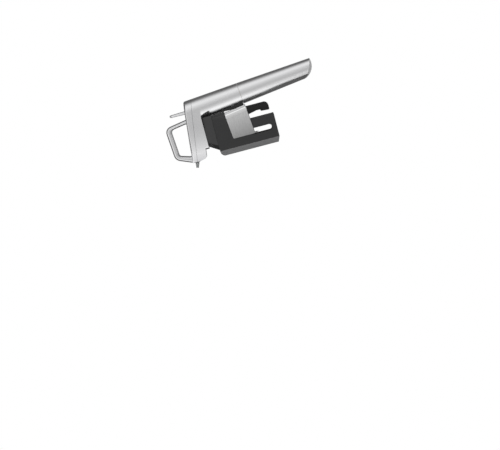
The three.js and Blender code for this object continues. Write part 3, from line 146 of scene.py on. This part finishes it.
# Clamp cap: the roof over the frame, moulded in the same nylon. It snaps over the frame's edge,
# and the handle slides up and down behind it.

def pick_only(*objects):
    """Selects these objects alone, and makes the first one active."""
    bpy.ops.object.select_all(action="DESELECT")
    for item in objects:
        item.select_set(True)
    bpy.context.view_layer.objects.active = objects[0]


def merged_copy(node, name):
    """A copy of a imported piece, its loose triangles merged into flat faces."""
    piece = bpy.data.objects.new(name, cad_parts[node].data.copy())
    bpy.context.scene.collection.objects.link(piece)
    pick_only(piece)
    bpy.ops.object.mode_set(mode="EDIT")
    bpy.ops.mesh.select_all(action="SELECT")
    bpy.ops.mesh.remove_doubles(threshold=2e-6)
    bpy.ops.mesh.dissolve_limited(angle_limit=radians(0.4))
    bpy.ops.object.mode_set(mode="OBJECT")
    return piece


def apply(piece, kind, **settings):
    """Adds a modifier with its settings and applies it."""
    pick_only(piece)
    made = piece.modifiers.new(kind, kind)
    for name, value in settings.items():
        setattr(made, name, value)
    bpy.ops.object.modifier_apply(modifier=made.name)


def soften(piece, width_mm, steps, sharper_than=35):
    """Rounds the edges sharper than an angle in degrees, and shades the rest smooth."""
    apply(piece, "BEVEL", width=width_mm / 1000, segments=steps, limit_method="ANGLE",
          angle_limit=radians(sharper_than), use_clamp_overlap=True, miter_outer="MITER_ARC")
    pick_only(piece)
    bpy.ops.object.shade_smooth_by_angle(angle=radians(sharper_than))
    apply(piece, "WEIGHTED_NORMAL", keep_sharp=True)


cap = merged_copy("clamp_cap", "cap_moulding")
soften(cap, width_mm=0.7, steps=3)
finish_with(cap, nylon)
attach(cap, "clamp")
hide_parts("clamp_cap")


# Slide carriage, its screws, the jaw pins and the jaw spring: steel, milled, drawn and coiled.
# The carriage's T runs in the handle's track, and the spring holds the jaws shut.

# Steel, drawn and turned: bare, with fine lines round it. They are too fine to show in the render,
# so they are drawn coarser.
steel, tree, shader, place = new_finish("bare_steel")
shader.inputs["Base Color"].default_value = linear("#b9bbbd")
shader.inputs["Metallic"].default_value = 1
drawn_mm = 0.3
shiny, matt = 0.22, 0.36
stretch = add(tree, "ShaderNodeMapping", {"Vector": place, "Scale": (0.08, 0.08, 1)})
lines = add(tree, "ShaderNodeTexNoise", {
    "Vector": stretch.outputs["Vector"], "Scale": 1000 / drawn_mm, "Detail": 2})
polish = add(tree, "ShaderNodeMapRange", {
    "Value": lines.outputs["Fac"], "From Min": noise_low, "From Max": noise_high,
    "To Min": shiny, "To Max": matt})
tree.links.new(polish.outputs["Result"], shader.inputs["Roughness"])

# Blackened steel: the same lines under a thin dark oxide with a dull oiled sheen.
blackened = steel.copy()
blackened.name = "blackened_steel"
oxide = blackened.node_tree.nodes["Principled BSDF"]
oxide.inputs["Base Color"].default_value = linear("#39393b")


def coil_copy(node, name, body):
    """A spring's steel copy, shaded smooth and carried by a body, its imported piece hidden."""
    coil = merged_copy(node, name)
    bpy.ops.object.shade_smooth_by_angle(angle=radians(40))
    finish_with(coil, steel)
    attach(coil, body)
    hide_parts(node)
    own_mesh(coil)


coil_copy("jaw_spring", "jaw_coil", "clamp")
for name in ("carriage_screw_left", "carriage_screw_right", "jaw_pin_left", "jaw_pin_right"):
    finish_with(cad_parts[name], steel)
finish_with(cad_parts["slide_carriage"], blackened)


# Jaw shells: a left and a right nylon moulding with a window, an arm on the pivot pin and a finger
# paddle. They swing open on steel pins when the paddles are squeezed.

# The same nylon on the jaws' front facets, painted a paler grey: a painted highlight.
painted_highlight = nylon.copy()
painted_highlight.name = "painted_highlight_nylon"
painted_highlight.node_tree.nodes["Principled BSDF"].inputs["Base Color"].default_value = linear("#828283")

# The same nylon on the finger paddles, darker, with little sheen.
darker_paddle = nylon.copy()
darker_paddle.name = "darker_paddle_grained_nylon"
darker_paddle_skin = darker_paddle.node_tree.nodes["Principled BSDF"]
darker_paddle_skin.inputs["Base Color"].default_value = linear("#121212")
darker_paddle_skin.inputs["Specular IOR Level"].default_value = 0.22


def prism(name, rings_mm):
    """A closed solid through rings of as many corners each, in mm."""
    mesh = bmesh.new()
    rings = [[mesh.verts.new([value / 1000 for value in corner]) for corner in ring]
             for ring in rings_mm]
    count = len(rings[0])
    for low, high in zip(rings, rings[1:]):
        for k in range(count):
            following = (k + 1) % count
            mesh.faces.new((low[k], low[following], high[following], high[k]))
    mesh.faces.new(rings[0])
    mesh.faces.new(rings[-1])
    bmesh.ops.recalc_face_normals(mesh, faces=mesh.faces)
    piece = bpy.data.objects.new(name, bpy.data.meshes.new(name))
    mesh.to_mesh(piece.data)
    mesh.free()
    bpy.context.scene.collection.objects.link(piece)
    return piece


def cut_away(piece, cutter):
    """Cuts the cutter's solid out of the piece, and removes the cutter."""
    apply(piece, "BOOLEAN", object=cutter, operation="DIFFERENCE", solver="EXACT")
    bpy.data.objects.remove(cutter)


def round_heel(centre_x, centre_y, radius, side):
    """Points round the jaw's rear corner, from its side face to its back."""
    steps = 10
    turns = [k * pi / 2 / steps for k in range(steps + 1)]
    return [(centre_x + radius * sin(turn), side * (centre_y + radius * cos(turn)))
            for turn in turns]


def clear_of(inside, back, front, half_width, overrun, side):
    """Closes a heel's points to an outline that runs clear of the jaw behind and beside it."""
    inner = half_width - heel_radius
    return inside + [(back + overrun, side * inner), (back + overrun, side * (half_width + overrun)),
                     (front, side * (half_width + overrun))]


plate_top, plate_height, plate_top_back, plate_lean = -9.2, 30.2, 36.5, 4.5


def plate_back(height):
    """How far back the side plate reaches at one height, in mm."""
    return plate_top_back + plate_lean * (plate_top - height) / plate_height


packed_back, arm_back, arm_side, heel_radius = 37.4, 38.2, 21, 9
below_shell, above_shell, heel_overrun = -75, 15, 9
plate_side, plate_sheet, plate_gap = 22.1, 0.8, 0.3
fold_heights, fold_overrun = (-41.2, -8.6), 6
finger_rest = [(21, -41.5), (26.9, -42.5), (29, -53), (29, -57.8), (26.2, -59.2), (21, -59.2)]
rest_inner, rest_outer = 10, 24
facet_slant, facet_rear = -0.4, -12.5
paddle_front, paddle_top = 24.5, -40.5
near_enough = 0.1
for sign, side in ((-1, "left"), (1, "right")):
    shell = merged_copy(f"jaw_{side}_shell", f"jaw_{side}_moulding")

    # The arm reaches back to just short of the track.
    for vert in shell.data.vertices:
        if vert.co.x * 1000 > packed_back - near_enough:
            vert.co.x += (arm_back - packed_back) / 1000

    # The rear corner is rounded, and a little tighter where the plate folds round it.
    front = arm_back - heel_radius
    heel = round_heel(front, arm_side - heel_radius, heel_radius, sign)
    outline = clear_of(heel, arm_back, front, arm_side, heel_overrun, sign)
    cut_away(shell, prism("heel_cutter", [
        [(x, y, height) for x, y in outline] for height in (below_shell, above_shell)]))
    fold_room = []
    for height in fold_heights:
        back = plate_back(height)
        front = back - heel_radius
        heel = round_heel(front, plate_side - heel_radius,
                          heel_radius - plate_sheet - plate_gap, sign)
        outline = clear_of(heel, back, front, plate_side, fold_overrun, sign)
        fold_room.append([(x, y, height) for x, y in outline])
    cut_away(shell, prism("plate_room", fold_room))
    cut_away(shell, prism("finger_rest", [
        [(x, sign * y, z) for x, z in finger_rest] for y in (rest_inner, rest_outer)]))

    # The side is one flat face, so it is split where the paddle's own finish begins.
    pick_only(shell)
    bpy.ops.object.mode_set(mode="EDIT")
    for place, normal in (((0, 0, paddle_top / 1000), (0, 0, 1)),
                          ((paddle_front / 1000, 0, 0), (1, 0, 0))):
        bpy.ops.mesh.select_all(action="SELECT")
        bpy.ops.mesh.bisect(plane_co=place, plane_no=normal)
    bpy.ops.object.mode_set(mode="OBJECT")
    soften(shell, width_mm=0.6, steps=3)
    finish_with(shell, nylon)
    shell.data.materials.append(painted_highlight)
    shell.data.materials.append(darker_paddle)
    # The front facets take the nylon with the painted highlight, and the finger paddles the darker
    # nylon.
    for face in shell.data.polygons:
        if face.normal.x < facet_slant and face.center.x * 1000 < facet_rear:
            face.material_index = 1
        elif face.center.x * 1000 > paddle_front and face.center.z * 1000 < paddle_top:
            face.material_index = 2
    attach(shell, f"jaw_{side}")
    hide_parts(f"jaw_{side}_shell")
    shell.visible_glossy = False
    finish_with(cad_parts[f"jaw_{side}_pad"], rubber)


# Jaw plates: stainless sheet on each jaw's side, blanked, brushed and folded round the arm's back
# edge. They are bare and bonded on the shell's side, whose rear corner is cut back under the fold.

# Brushed stainless steel: long lines along the plate, too fine to show, so they are drawn coarser.
# Its colour is painted lighter towards the rear, as painted light, and near white on the rear fold,
# as a painted highlight; the fold is also smoother.
brushed, tree, shader, place = new_finish("brushed_stainless")
shader.inputs["Metallic"].default_value = 1
stroke_mm, stroke_depth_mm = 0.25, 0.03
stroke_stretch = (0.03, 1, 1)
shiny, matt, fold_roughness = 0.24, 0.4, 0.14
stretch = add(tree, "ShaderNodeMapping", {"Vector": place, "Scale": stroke_stretch})
strokes = add(tree, "ShaderNodeTexNoise", {
    "Vector": stretch.outputs["Vector"], "Scale": 1000 / stroke_mm, "Detail": 3, "Roughness": 0.7})

# How far back a point lies, in mm, less the lean of the plate's rear edge.
backwards = (1000, 0, 149)
# In mm back: where the painted light grows from front to rear, and where the painted highlight on
# the fold starts and is full.
painted_light_from, painted_light_to, fold_highlight_from, fold_highlight_to = -6, 24, 26, 30
rearness = add(tree, "ShaderNodeVectorMath", {0: place, 1: backwards}, operation="DOT_PRODUCT")
painted_light_share = add(tree, "ShaderNodeMapRange", {
    "Value": rearness.outputs["Value"], "From Min": painted_light_from, "From Max": painted_light_to,
    "To Min": 0, "To Max": 1})
# Two greys along the strokes, with painted shade at the front and painted light at the rear.
front_tone_painted_shade = add(tree, "ShaderNodeMix", {
    "Factor": strokes.outputs["Fac"], "A": linear("#8f8f8f"), "B": linear("#b8b8b8")},
    data_type="RGBA")
rear_tone_painted_light = add(tree, "ShaderNodeMix", {
    "Factor": strokes.outputs["Fac"], "A": linear("#c4c4c4"), "B": linear("#e6e6e6")},
    data_type="RGBA")
painted_gradient_tone = add(tree, "ShaderNodeMix", {
    "Factor": painted_light_share.outputs["Result"], "A": front_tone_painted_shade.outputs["Result"],
    "B": rear_tone_painted_light.outputs["Result"]}, data_type="RGBA")
fold = add(tree, "ShaderNodeMapRange", {
    "Value": rearness.outputs["Value"], "From Min": fold_highlight_from, "From Max": fold_highlight_to,
    "To Min": 0, "To Max": 1})
tone = add(tree, "ShaderNodeMix", {
    "Factor": fold.outputs["Result"], "A": painted_gradient_tone.outputs["Result"], "B": linear("#fdfdfd")},
    data_type="RGBA")
rough = add(tree, "ShaderNodeMapRange", {
    "Value": strokes.outputs["Fac"], "From Min": noise_low, "From Max": noise_high,
    "To Min": shiny, "To Max": matt})
polish = add(tree, "ShaderNodeMix", {
    "Factor": fold.outputs["Result"], "A": rough.outputs["Result"], "B": fold_roughness})
relief = add(tree, "ShaderNodeBump", {
    "Height": strokes.outputs["Fac"], "Strength": 0.2, "Distance": stroke_depth_mm / 1000})
tree.links.new(tone.outputs["Result"], shader.inputs["Base Color"])
tree.links.new(polish.outputs["Result"], shader.inputs["Roughness"])
tree.links.new(relief.outputs["Normal"], shader.inputs["Normal"])


def widen_bend(plate):
    """Opens the plate's tight rear bend to the radius of the jaw's heel."""
    tight_radius, bend_steps, still_flat = 4, 24, 0.01
    mesh = bmesh.new()
    mesh.from_mesh(plate.data)
    sign = 1 if max(v.co.y for v in mesh.verts) > 0 else -1
    lean = Vector((plate_back(0) - plate_back(1), 0, -1))
    centre = Vector((plate_back(0) - tight_radius, sign * (plate_side - tight_radius), 0)) / 1000
    for k in range(bend_steps):
        angle = (k + 0.5) * pi / 2 / bend_steps
        outwards = Vector((sin(angle), sign * cos(angle), 0))
        bmesh.ops.bisect_plane(mesh, geom=mesh.verts[:] + mesh.edges[:] + mesh.faces[:],
                               dist=1e-6, plane_co=centre, plane_no=lean.cross(outwards))
    for vert in mesh.verts:
        x, y, height = vert.co * 1000
        ahead = x - (plate_back(height) - tight_radius)
        aside = abs(y) - (plate_side - tight_radius)
        if ahead < still_flat:
            continue
        outer = (ahead ** 2 + aside ** 2) ** 0.5 > tight_radius - plate_sheet / 2
        reach = heel_radius if outer else heel_radius - plate_sheet
        turned = Vector((ahead, aside)).normalized() * reach
        vert.co.x = (plate_back(height) - heel_radius + turned.x) / 1000
        vert.co.y = sign * (plate_side - heel_radius + turned.y) / 1000
    mesh.to_mesh(plate.data)
    mesh.free()


for side in ("left", "right"):
    plate = merged_copy(f"jaw_{side}_plate", f"jaw_{side}_side_plate")
    widen_bend(plate)
    soften(plate, width_mm=0.2, steps=2, sharper_than=50)
    finish_with(plate, brushed)
    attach(plate, f"jaw_{side}")
    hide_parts(f"jaw_{side}_plate")
    plate.visible_glossy = False


# Handle casting: the lower head and the upper handle tube, aluminium, cast in one piece, blasted
# fine and anodised. Everything on the head is screwed or pressed into it.

# Satin anodised aluminium, blasted: soft reflections with a faint grit in them, drawn coarser than
# it is. Round the nose it is greyer, as in the photograph.
satin, tree, shader, place = new_finish("satin_anodised_aluminium")
shader.inputs["Metallic"].default_value = 1
# Where the nose is greyer: towards the front, and below the loop.
nose_grey_rear, nose_grey_front, nose_grey_top, nose_grey_full = -0.008, -0.02, 0.051, 0.047
where = add(tree, "ShaderNodeSeparateXYZ", {"Vector": place})
towards_nose = add(tree, "ShaderNodeMapRange", {
    "Value": where.outputs["X"], "From Min": nose_grey_rear, "From Max": nose_grey_front,
    "To Min": 0, "To Max": 1})
under_loop = add(tree, "ShaderNodeMapRange", {
    "Value": where.outputs["Z"], "From Min": nose_grey_top, "From Max": nose_grey_full,
    "To Min": 0, "To Max": 1})
nose_grey = add(tree, "ShaderNodeMath", {
    0: towards_nose.outputs["Result"], 1: under_loop.outputs["Result"]}, operation="MULTIPLY")
tone = add(tree, "ShaderNodeMix", {
    "Factor": nose_grey.outputs["Value"], "A": linear("#e0e0e1"), "B": linear("#bdbdbf")},
    data_type="RGBA")
tree.links.new(tone.outputs["Result"], shader.inputs["Base Color"])
grit_mm, grit_depth_mm, handling_mm = 0.3, 0.03, 25
shiny, matt = 0.2, 0.26
grit = add(tree, "ShaderNodeTexNoise", {
    "Vector": place, "Scale": 1000 / grit_mm, "Detail": 2, "Roughness": 0.55})
handling = add(tree, "ShaderNodeTexNoise", {
    "Vector": place, "Scale": 1000 / handling_mm, "Detail": 4})
satin_sheen = add(tree, "ShaderNodeMapRange", {
    "Value": handling.outputs["Fac"], "From Min": noise_low, "From Max": noise_high,
    "To Min": shiny, "To Max": matt})
relief = add(tree, "ShaderNodeBump", {
    "Height": grit.outputs["Fac"], "Strength": 0.12, "Distance": grit_depth_mm / 1000})
tree.links.new(satin_sheen.outputs["Result"], shader.inputs["Roughness"])
tree.links.new(relief.outputs["Normal"], shader.inputs["Normal"])

casting = merged_copy("handle_casting", "handle_body")
soften(casting, width_mm=0.3, steps=2)
finish_with(casting, satin)
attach(casting, "head")
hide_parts("handle_casting")


# Head cover: the upper head with the finger loop, cast and finished as the handle is. Three screws
# pull it down on the casting from below.

def bisected(piece, height, normal, keep_above):
    """Cuts the piece by a plane at a height in mm, keeps one side of it and closes the cut."""
    pick_only(piece)
    bpy.ops.object.mode_set(mode="EDIT")
    bpy.ops.mesh.select_all(action="SELECT")
    bpy.ops.mesh.bisect(plane_co=Vector((0, 0, height)) / 1000, plane_no=normal, use_fill=True,
                        clear_inner=keep_above, clear_outer=not keep_above)
    bpy.ops.object.mode_set(mode="OBJECT")


def round_chosen(piece, width_mm, steps, fullness, chosen):
    """Rounds only the edges that chosen accepts by their two faces and their middle in mm."""
    mesh = bmesh.new()
    mesh.from_mesh(piece.data)
    weight = mesh.edges.layers.float.new("bevel_weight_edge")
    for edge in mesh.edges:
        if len(edge.link_faces) != 2:
            continue
        first, second = (face.normal for face in edge.link_faces)
        middle = (edge.verts[0].co + edge.verts[1].co) * 500
        if chosen(first, second, middle):
            edge[weight] = 1
    mesh.to_mesh(piece.data)
    mesh.free()
    apply(piece, "BEVEL", width=width_mm / 1000, segments=steps, limit_method="WEIGHT",
          profile=fullness, use_clamp_overlap=False, loop_slide=True)
    piece.data.attributes.remove(piece.data.attributes["bevel_weight_edge"])


def is_top_outline(first, second, middle):
    """Whether an edge joins the head's sloping top to its side, away from loop and trigger."""
    nearly_up, nearly_level = 0.95, 0.35
    loop_half_width, behind_slot, nose_rear = 8.2, 56, -15
    joins = max(first.z, second.z) > nearly_up and min(first.z, second.z) < nearly_level
    apart = abs(middle.y) > loop_half_width or middle.x > behind_slot
    return joins and apart and middle.x > nose_rear


# The loop is parted from the head, its root drawn down into the head, made of small voxels, crowned
# across its width, smoothed and joined to the cover again.
top_slope, head_top, root_rise, root_depth = 0.1024, 49.28, 0.25, 1.8
underside, root_ceiling = -0.98, 50
bar_half, flat_share, voxel_mm, smooth_rounds = 3.5, 0.35, 0.5, 8
top_normal = Vector((top_slope, 0, 1)).normalized()
cover = merged_copy("head_cover", "loop_cover")
loop = merged_copy("head_cover", "finger_loop")
bisected(cover, head_top + root_rise, top_normal, keep_above=False)
bisected(loop, head_top + root_rise, top_normal, keep_above=True)
pick_only(loop)
bpy.ops.object.mode_set(mode="EDIT")
bpy.ops.mesh.select_all(action="DESELECT")
bpy.ops.object.mode_set(mode="OBJECT")
for face in loop.data.polygons:
    rise = face.center.z * 1000 + top_slope * face.center.x * 1000
    face.select = face.normal.z < underside and rise < root_ceiling
bpy.ops.object.mode_set(mode="EDIT")
bpy.ops.mesh.extrude_region_move(
    TRANSFORM_OT_translate={"value": tuple(-root_depth / 1000 * top_normal)})
bpy.ops.object.mode_set(mode="OBJECT")
corners = [vert.co.copy() for vert in loop.data.vertices]
walls = BVHTree.FromPolygons(corners, [
    tuple(face.vertices) for face in loop.data.polygons
    if abs(face.normal.y) < 0.1 and face.normal.z > underside])
apply(loop, "REMESH", mode="VOXEL", voxel_size=voxel_mm / 1000, use_smooth_shade=True)
for vert in loop.data.vertices:
    nearest = walls.find_nearest(Vector((vert.co.x, 0, vert.co.z)))[3] * 1000
    off_middle = max(0, 1 - nearest / bar_half)
    vert.co.y *= flat_share + (1 - flat_share) * (1 - off_middle ** 2) ** 0.5
apply(loop, "SMOOTH", factor=0.5, iterations=smooth_rounds)
round_chosen(cover, width_mm=2.4, steps=6, fullness=0.3, chosen=is_top_outline)
soften(cover, width_mm=0.4, steps=3)
finish_with(cover, satin)
finish_with(loop, satin)
pick_only(cover, loop)
bpy.ops.object.join()
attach(cover, "head")
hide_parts("head_cover")


# Track insert: a black nylon strip with a T slot, pressed into the front of the handle tube. The
# carriage's T runs in it.

# Smooth nylon, moulded in a polished tool: deep black with a clear sheen, dulled in patches.
gloss, tree, shader, place = new_finish("smooth_black_nylon")
shader.inputs["Base Color"].default_value = linear("#101011")
shader.inputs["IOR"].default_value = 1.5
rub_mm = 6
shiny, matt = 0.28, 0.42
rub = add(tree, "ShaderNodeTexNoise", {"Vector": place, "Scale": 1000 / rub_mm, "Detail": 4})
wear = add(tree, "ShaderNodeMapRange", {
    "Value": rub.outputs["Fac"], "From Min": noise_low, "From Max": noise_high,
    "To Min": shiny, "To Max": matt})
tree.links.new(wear.outputs["Result"], shader.inputs["Roughness"])

track = merged_copy("track_insert", "track_strip")
soften(track, width_mm=0.25, steps=2)
finish_with(track, gloss)
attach(track, "head")
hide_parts("track_insert")


# Flow parts: manifold, gas tube, regulator, valve, needle hub and needle. The manifold is moulded
# acetal, the hub is turned brass and screws up into it, and the needle is soldered into the hub.

# Brass, turned: bare and slightly dulled.
brass, tree, shader, place = new_finish("turned_brass")
shader.inputs["Metallic"].default_value = 1
dull_mm = 4
shiny, matt = 0.2, 0.36
dull = add(tree, "ShaderNodeTexNoise", {"Vector": place, "Scale": 1000 / dull_mm, "Detail": 5})
tone = add(tree, "ShaderNodeMix", {
    "Factor": dull.outputs["Fac"], "A": linear("#c9a35c"), "B": linear("#ddbd78")},
    data_type="RGBA")
polish = add(tree, "ShaderNodeMapRange", {
    "Value": dull.outputs["Fac"], "From Min": noise_low, "From Max": noise_high,
    "To Min": shiny, "To Max": matt})
tree.links.new(tone.outputs["Result"], shader.inputs["Base Color"])
tree.links.new(polish.outputs["Result"], shader.inputs["Roughness"])

for name in ("flow_manifold", "gas_tube"):
    finish_with(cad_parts[name], acetal)
for name in ("needle_hub", "regulator_body", "regulator_bonnet", "regulator_piston"):
    finish_with(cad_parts[name], brass)
for name in ("needle_o_ring", "spout_seal", "piston_o_ring", "capsule_gasket"):
    finish_with(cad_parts[name], rubber)
for name in ("needle", "cover_screw_front_left", "cover_screw_front_right", "cover_screw_rear",
             "trigger_pin", "regulator_spring", "piercing_pin", "valve_stem"):
    finish_with(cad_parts[name], steel)
coil_copy("valve_spring", "valve_coil", "head")


# Spout: a clear copolyester nozzle through the nose, moulded with a taper and pushed into the
# manifold over its seal.

# Copolyester: clear with a grey tint, slightly frosted by its mould.
clear, tree, shader, place = new_finish("clear_copolyester")
shader.inputs["Base Color"].default_value = linear("#d3d6d6")
shader.inputs["IOR"].default_value = 1.57
shader.inputs["Transmission Weight"].default_value = 0.75
frost_mm = 1.5
shiny, matt = 0.12, 0.25
frost = add(tree, "ShaderNodeTexNoise", {"Vector": place, "Scale": 1000 / frost_mm, "Detail": 3})
haze = add(tree, "ShaderNodeMapRange", {
    "Value": frost.outputs["Fac"], "From Min": noise_low, "From Max": noise_high,
    "To Min": shiny, "To Max": matt})
tree.links.new(haze.outputs["Result"], shader.inputs["Roughness"])

finish_with(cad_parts["spout"], clear)


# Trigger lever: aluminium, cast and anodised as the head is. Its blade stands up through the
# cover's slot, it tilts on a steel pin, and its foot pushes the valve stem down.

def is_blade_edge(first, second, middle):
    """Whether an edge runs up or over the blade above the head."""
    blade_foot, well_turned = 46, 0.3
    return middle.z > blade_foot and first.dot(second) < well_turned


lever = merged_copy("trigger_lever", "trigger_casting")
round_chosen(lever, width_mm=1.8, steps=6, fullness=0.35, chosen=is_blade_edge)
soften(lever, width_mm=0.4, steps=3)
finish_with(lever, satin)
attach(lever, "trigger")
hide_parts("trigger_lever")


# Gas capsule and its cup: the capsule is drawn steel. The cup is aluminium, turned and anodised as
# the handle is, and screws to the regulator's end, which pierces the capsule.

finish_with(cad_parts["gas_capsule"], steel)
cup = merged_copy("capsule_cup", "cup_shell")
soften(cup, width_mm=0.3, steps=3)
finish_with(cup, satin)
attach(cup, "cup")
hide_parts("capsule_cup")


# Floor: a sheet of white paper 300 mm below the lip seat's face. It glows to the camera alone, so
# that it looks plain white, and lights the part only as pale paper does.

floor_level, floor_size = -0.3, 1.6
bpy.ops.mesh.primitive_plane_add(size=floor_size, location=(0, 0, floor_level))
floor = bpy.context.object
floor.name = "floor_sheet"
sheet = bpy.data.materials.new("white_paper")
sheet.use_nodes = True
tree = sheet.node_tree
shader = tree.nodes["Principled BSDF"]
shader.inputs["Base Color"].default_value = linear("#f2f2f1")
shader.inputs["Roughness"].default_value = 0.9
seen = add(tree, "ShaderNodeLightPath")
glow = add(tree, "ShaderNodeEmission", {"Strength": 1})
both = add(tree, "ShaderNodeMixShader", {
    0: seen.outputs["Is Camera Ray"], 1: shader.outputs["BSDF"], 2: glow.outputs["Emission"]})
tree.links.new(both.outputs["Shader"], tree.nodes["Material Output"].inputs["Surface"])
floor.data.materials.append(sheet)


# Light: a studio with broad soft light in front of the part and a dark room at its sides. The
# camera sees plain white in its place.

world = bpy.data.worlds.new("studio")
bpy.context.scene.world = world
world.use_nodes = True
tree = world.node_tree
tree.nodes.clear()
place = add(tree, "ShaderNodeTexCoord").outputs["Generated"]
facing = add(tree, "ShaderNodeVectorMath", {0: place, 1: (0, -1, 0)}, operation="DOT_PRODUCT")
share = add(tree, "ShaderNodeMapRange", {
    "Value": facing.outputs["Value"], "From Min": -1, "From Max": 1})

# Brightness by the angle in degrees from the part's left, on the spout's side and the handle's.
low_side = [(180, 0.17), (150, 0.1), (118, 0.07), (106, 0.07), (95, 0.13), (84, 0.32), (73, 0.66),
            (63, 0.95), (53, 0.96), (44, 0.88), (36, 0.73), (27, 0.6), (19, 0.52), (11, 0.46),
            (0, 0.44)]
high_side = [(180, 0.17), (150, 0.12), (130, 0.1), (115, 0.11), (102, 0.18), (91, 0.33),
             (81, 0.56), (71, 0.7), (62, 0.78), (50, 0.78), (40, 0.71), (28, 0.61), (12, 0.51),
             (0, 0.45)]
studio_strength, blend_half = 1.35, 0.3
ramps = []
for stops in (low_side, high_side):
    ramp = add(tree, "ShaderNodeValToRGB", {"Fac": share.outputs["Result"]})
    points = ramp.color_ramp.elements
    for angle, level in stops[1:-1]:
        points.new((1 + cos(radians(angle))) / 2)
    for point, (angle, level) in zip(points, stops):
        point.color = (level, level, level, 1)
    ramps.append(ramp.outputs["Color"])
sides = add(tree, "ShaderNodeSeparateXYZ", {"Vector": place})
across = add(tree, "ShaderNodeMapRange", {
    "Value": sides.outputs["X"], "From Min": -blend_half, "From Max": blend_half})
soft = add(tree, "ShaderNodeMix", {
    "Factor": across.outputs["Result"], "A": ramps[0], "B": ramps[1]}, data_type="RGBA")
studio = add(tree, "ShaderNodeBackground", {
    "Color": soft.outputs["Result"], "Strength": studio_strength})
plain = add(tree, "ShaderNodeBackground", {"Color": (1, 1, 1, 1), "Strength": 1})
seen = add(tree, "ShaderNodeLightPath")
both = add(tree, "ShaderNodeMixShader", {
    0: seen.outputs["Is Camera Ray"], 1: studio.outputs["Background"],
    2: plain.outputs["Background"]})
add(tree, "ShaderNodeOutputWorld", {"Surface": both.outputs["Shader"]})
bpy.context.scene.view_settings.view_transform = "Standard"

# A black flag bent round stands in front of the cup. Only gloss sees it, and mirrors its clean edge.
flag_facets, flag_glow = 64, 0.12
flag_radii_and_heights = [(9, -79), (15, -81), (26.5, -85), (29.5, -95), (31.5, -106), (31.5, -240)]
turns = [2 * pi * k / flag_facets for k in range(flag_facets)]
flag = prism("black_flag", [[(radius * cos(turn), radius * sin(turn), height) for turn in turns]
                            for radius, height in flag_radii_and_heights])
velvet = bpy.data.materials.new("black_velvet")
velvet.use_nodes = True
tree = velvet.node_tree
dim = add(tree, "ShaderNodeEmission", {"Color": (1, 1, 1, 1), "Strength": flag_glow})
tree.links.new(dim.outputs["Emission"], tree.nodes["Material Output"].inputs["Surface"])
finish_with(flag, velvet)
flag.visible_camera = False
flag.visible_diffuse = False
flag.visible_shadow = False
flag.visible_transmission = False


# Camera: the photograph's view, of the part's left side with the spout down to the left. It stands
# nearly two metres off, and a little towards the handle.

photo_tilt = radians(14.7)
picture_up = Vector((cos(photo_tilt), 0, -sin(photo_tilt)))
aim = Vector((-0.1245, 0, -0.0035))
look = Vector((-0.108, 0.994, 0.028)).normalized()
distance, picture_width = 1.94, 0.702
right = look.cross(picture_up).normalized()
lens = bpy.data.cameras.new("camera")
camera = bpy.data.objects.new("camera", lens)
bpy.context.scene.collection.objects.link(camera)
lens.lens = lens.sensor_width * distance / picture_width
turn = Matrix((right, right.cross(look), -look)).transposed()
camera.matrix_world = Matrix.Translation(aim - look * distance) @ turn.to_4x4()
bpy.context.scene.camera = camera

bpy.context.view_layer.update()
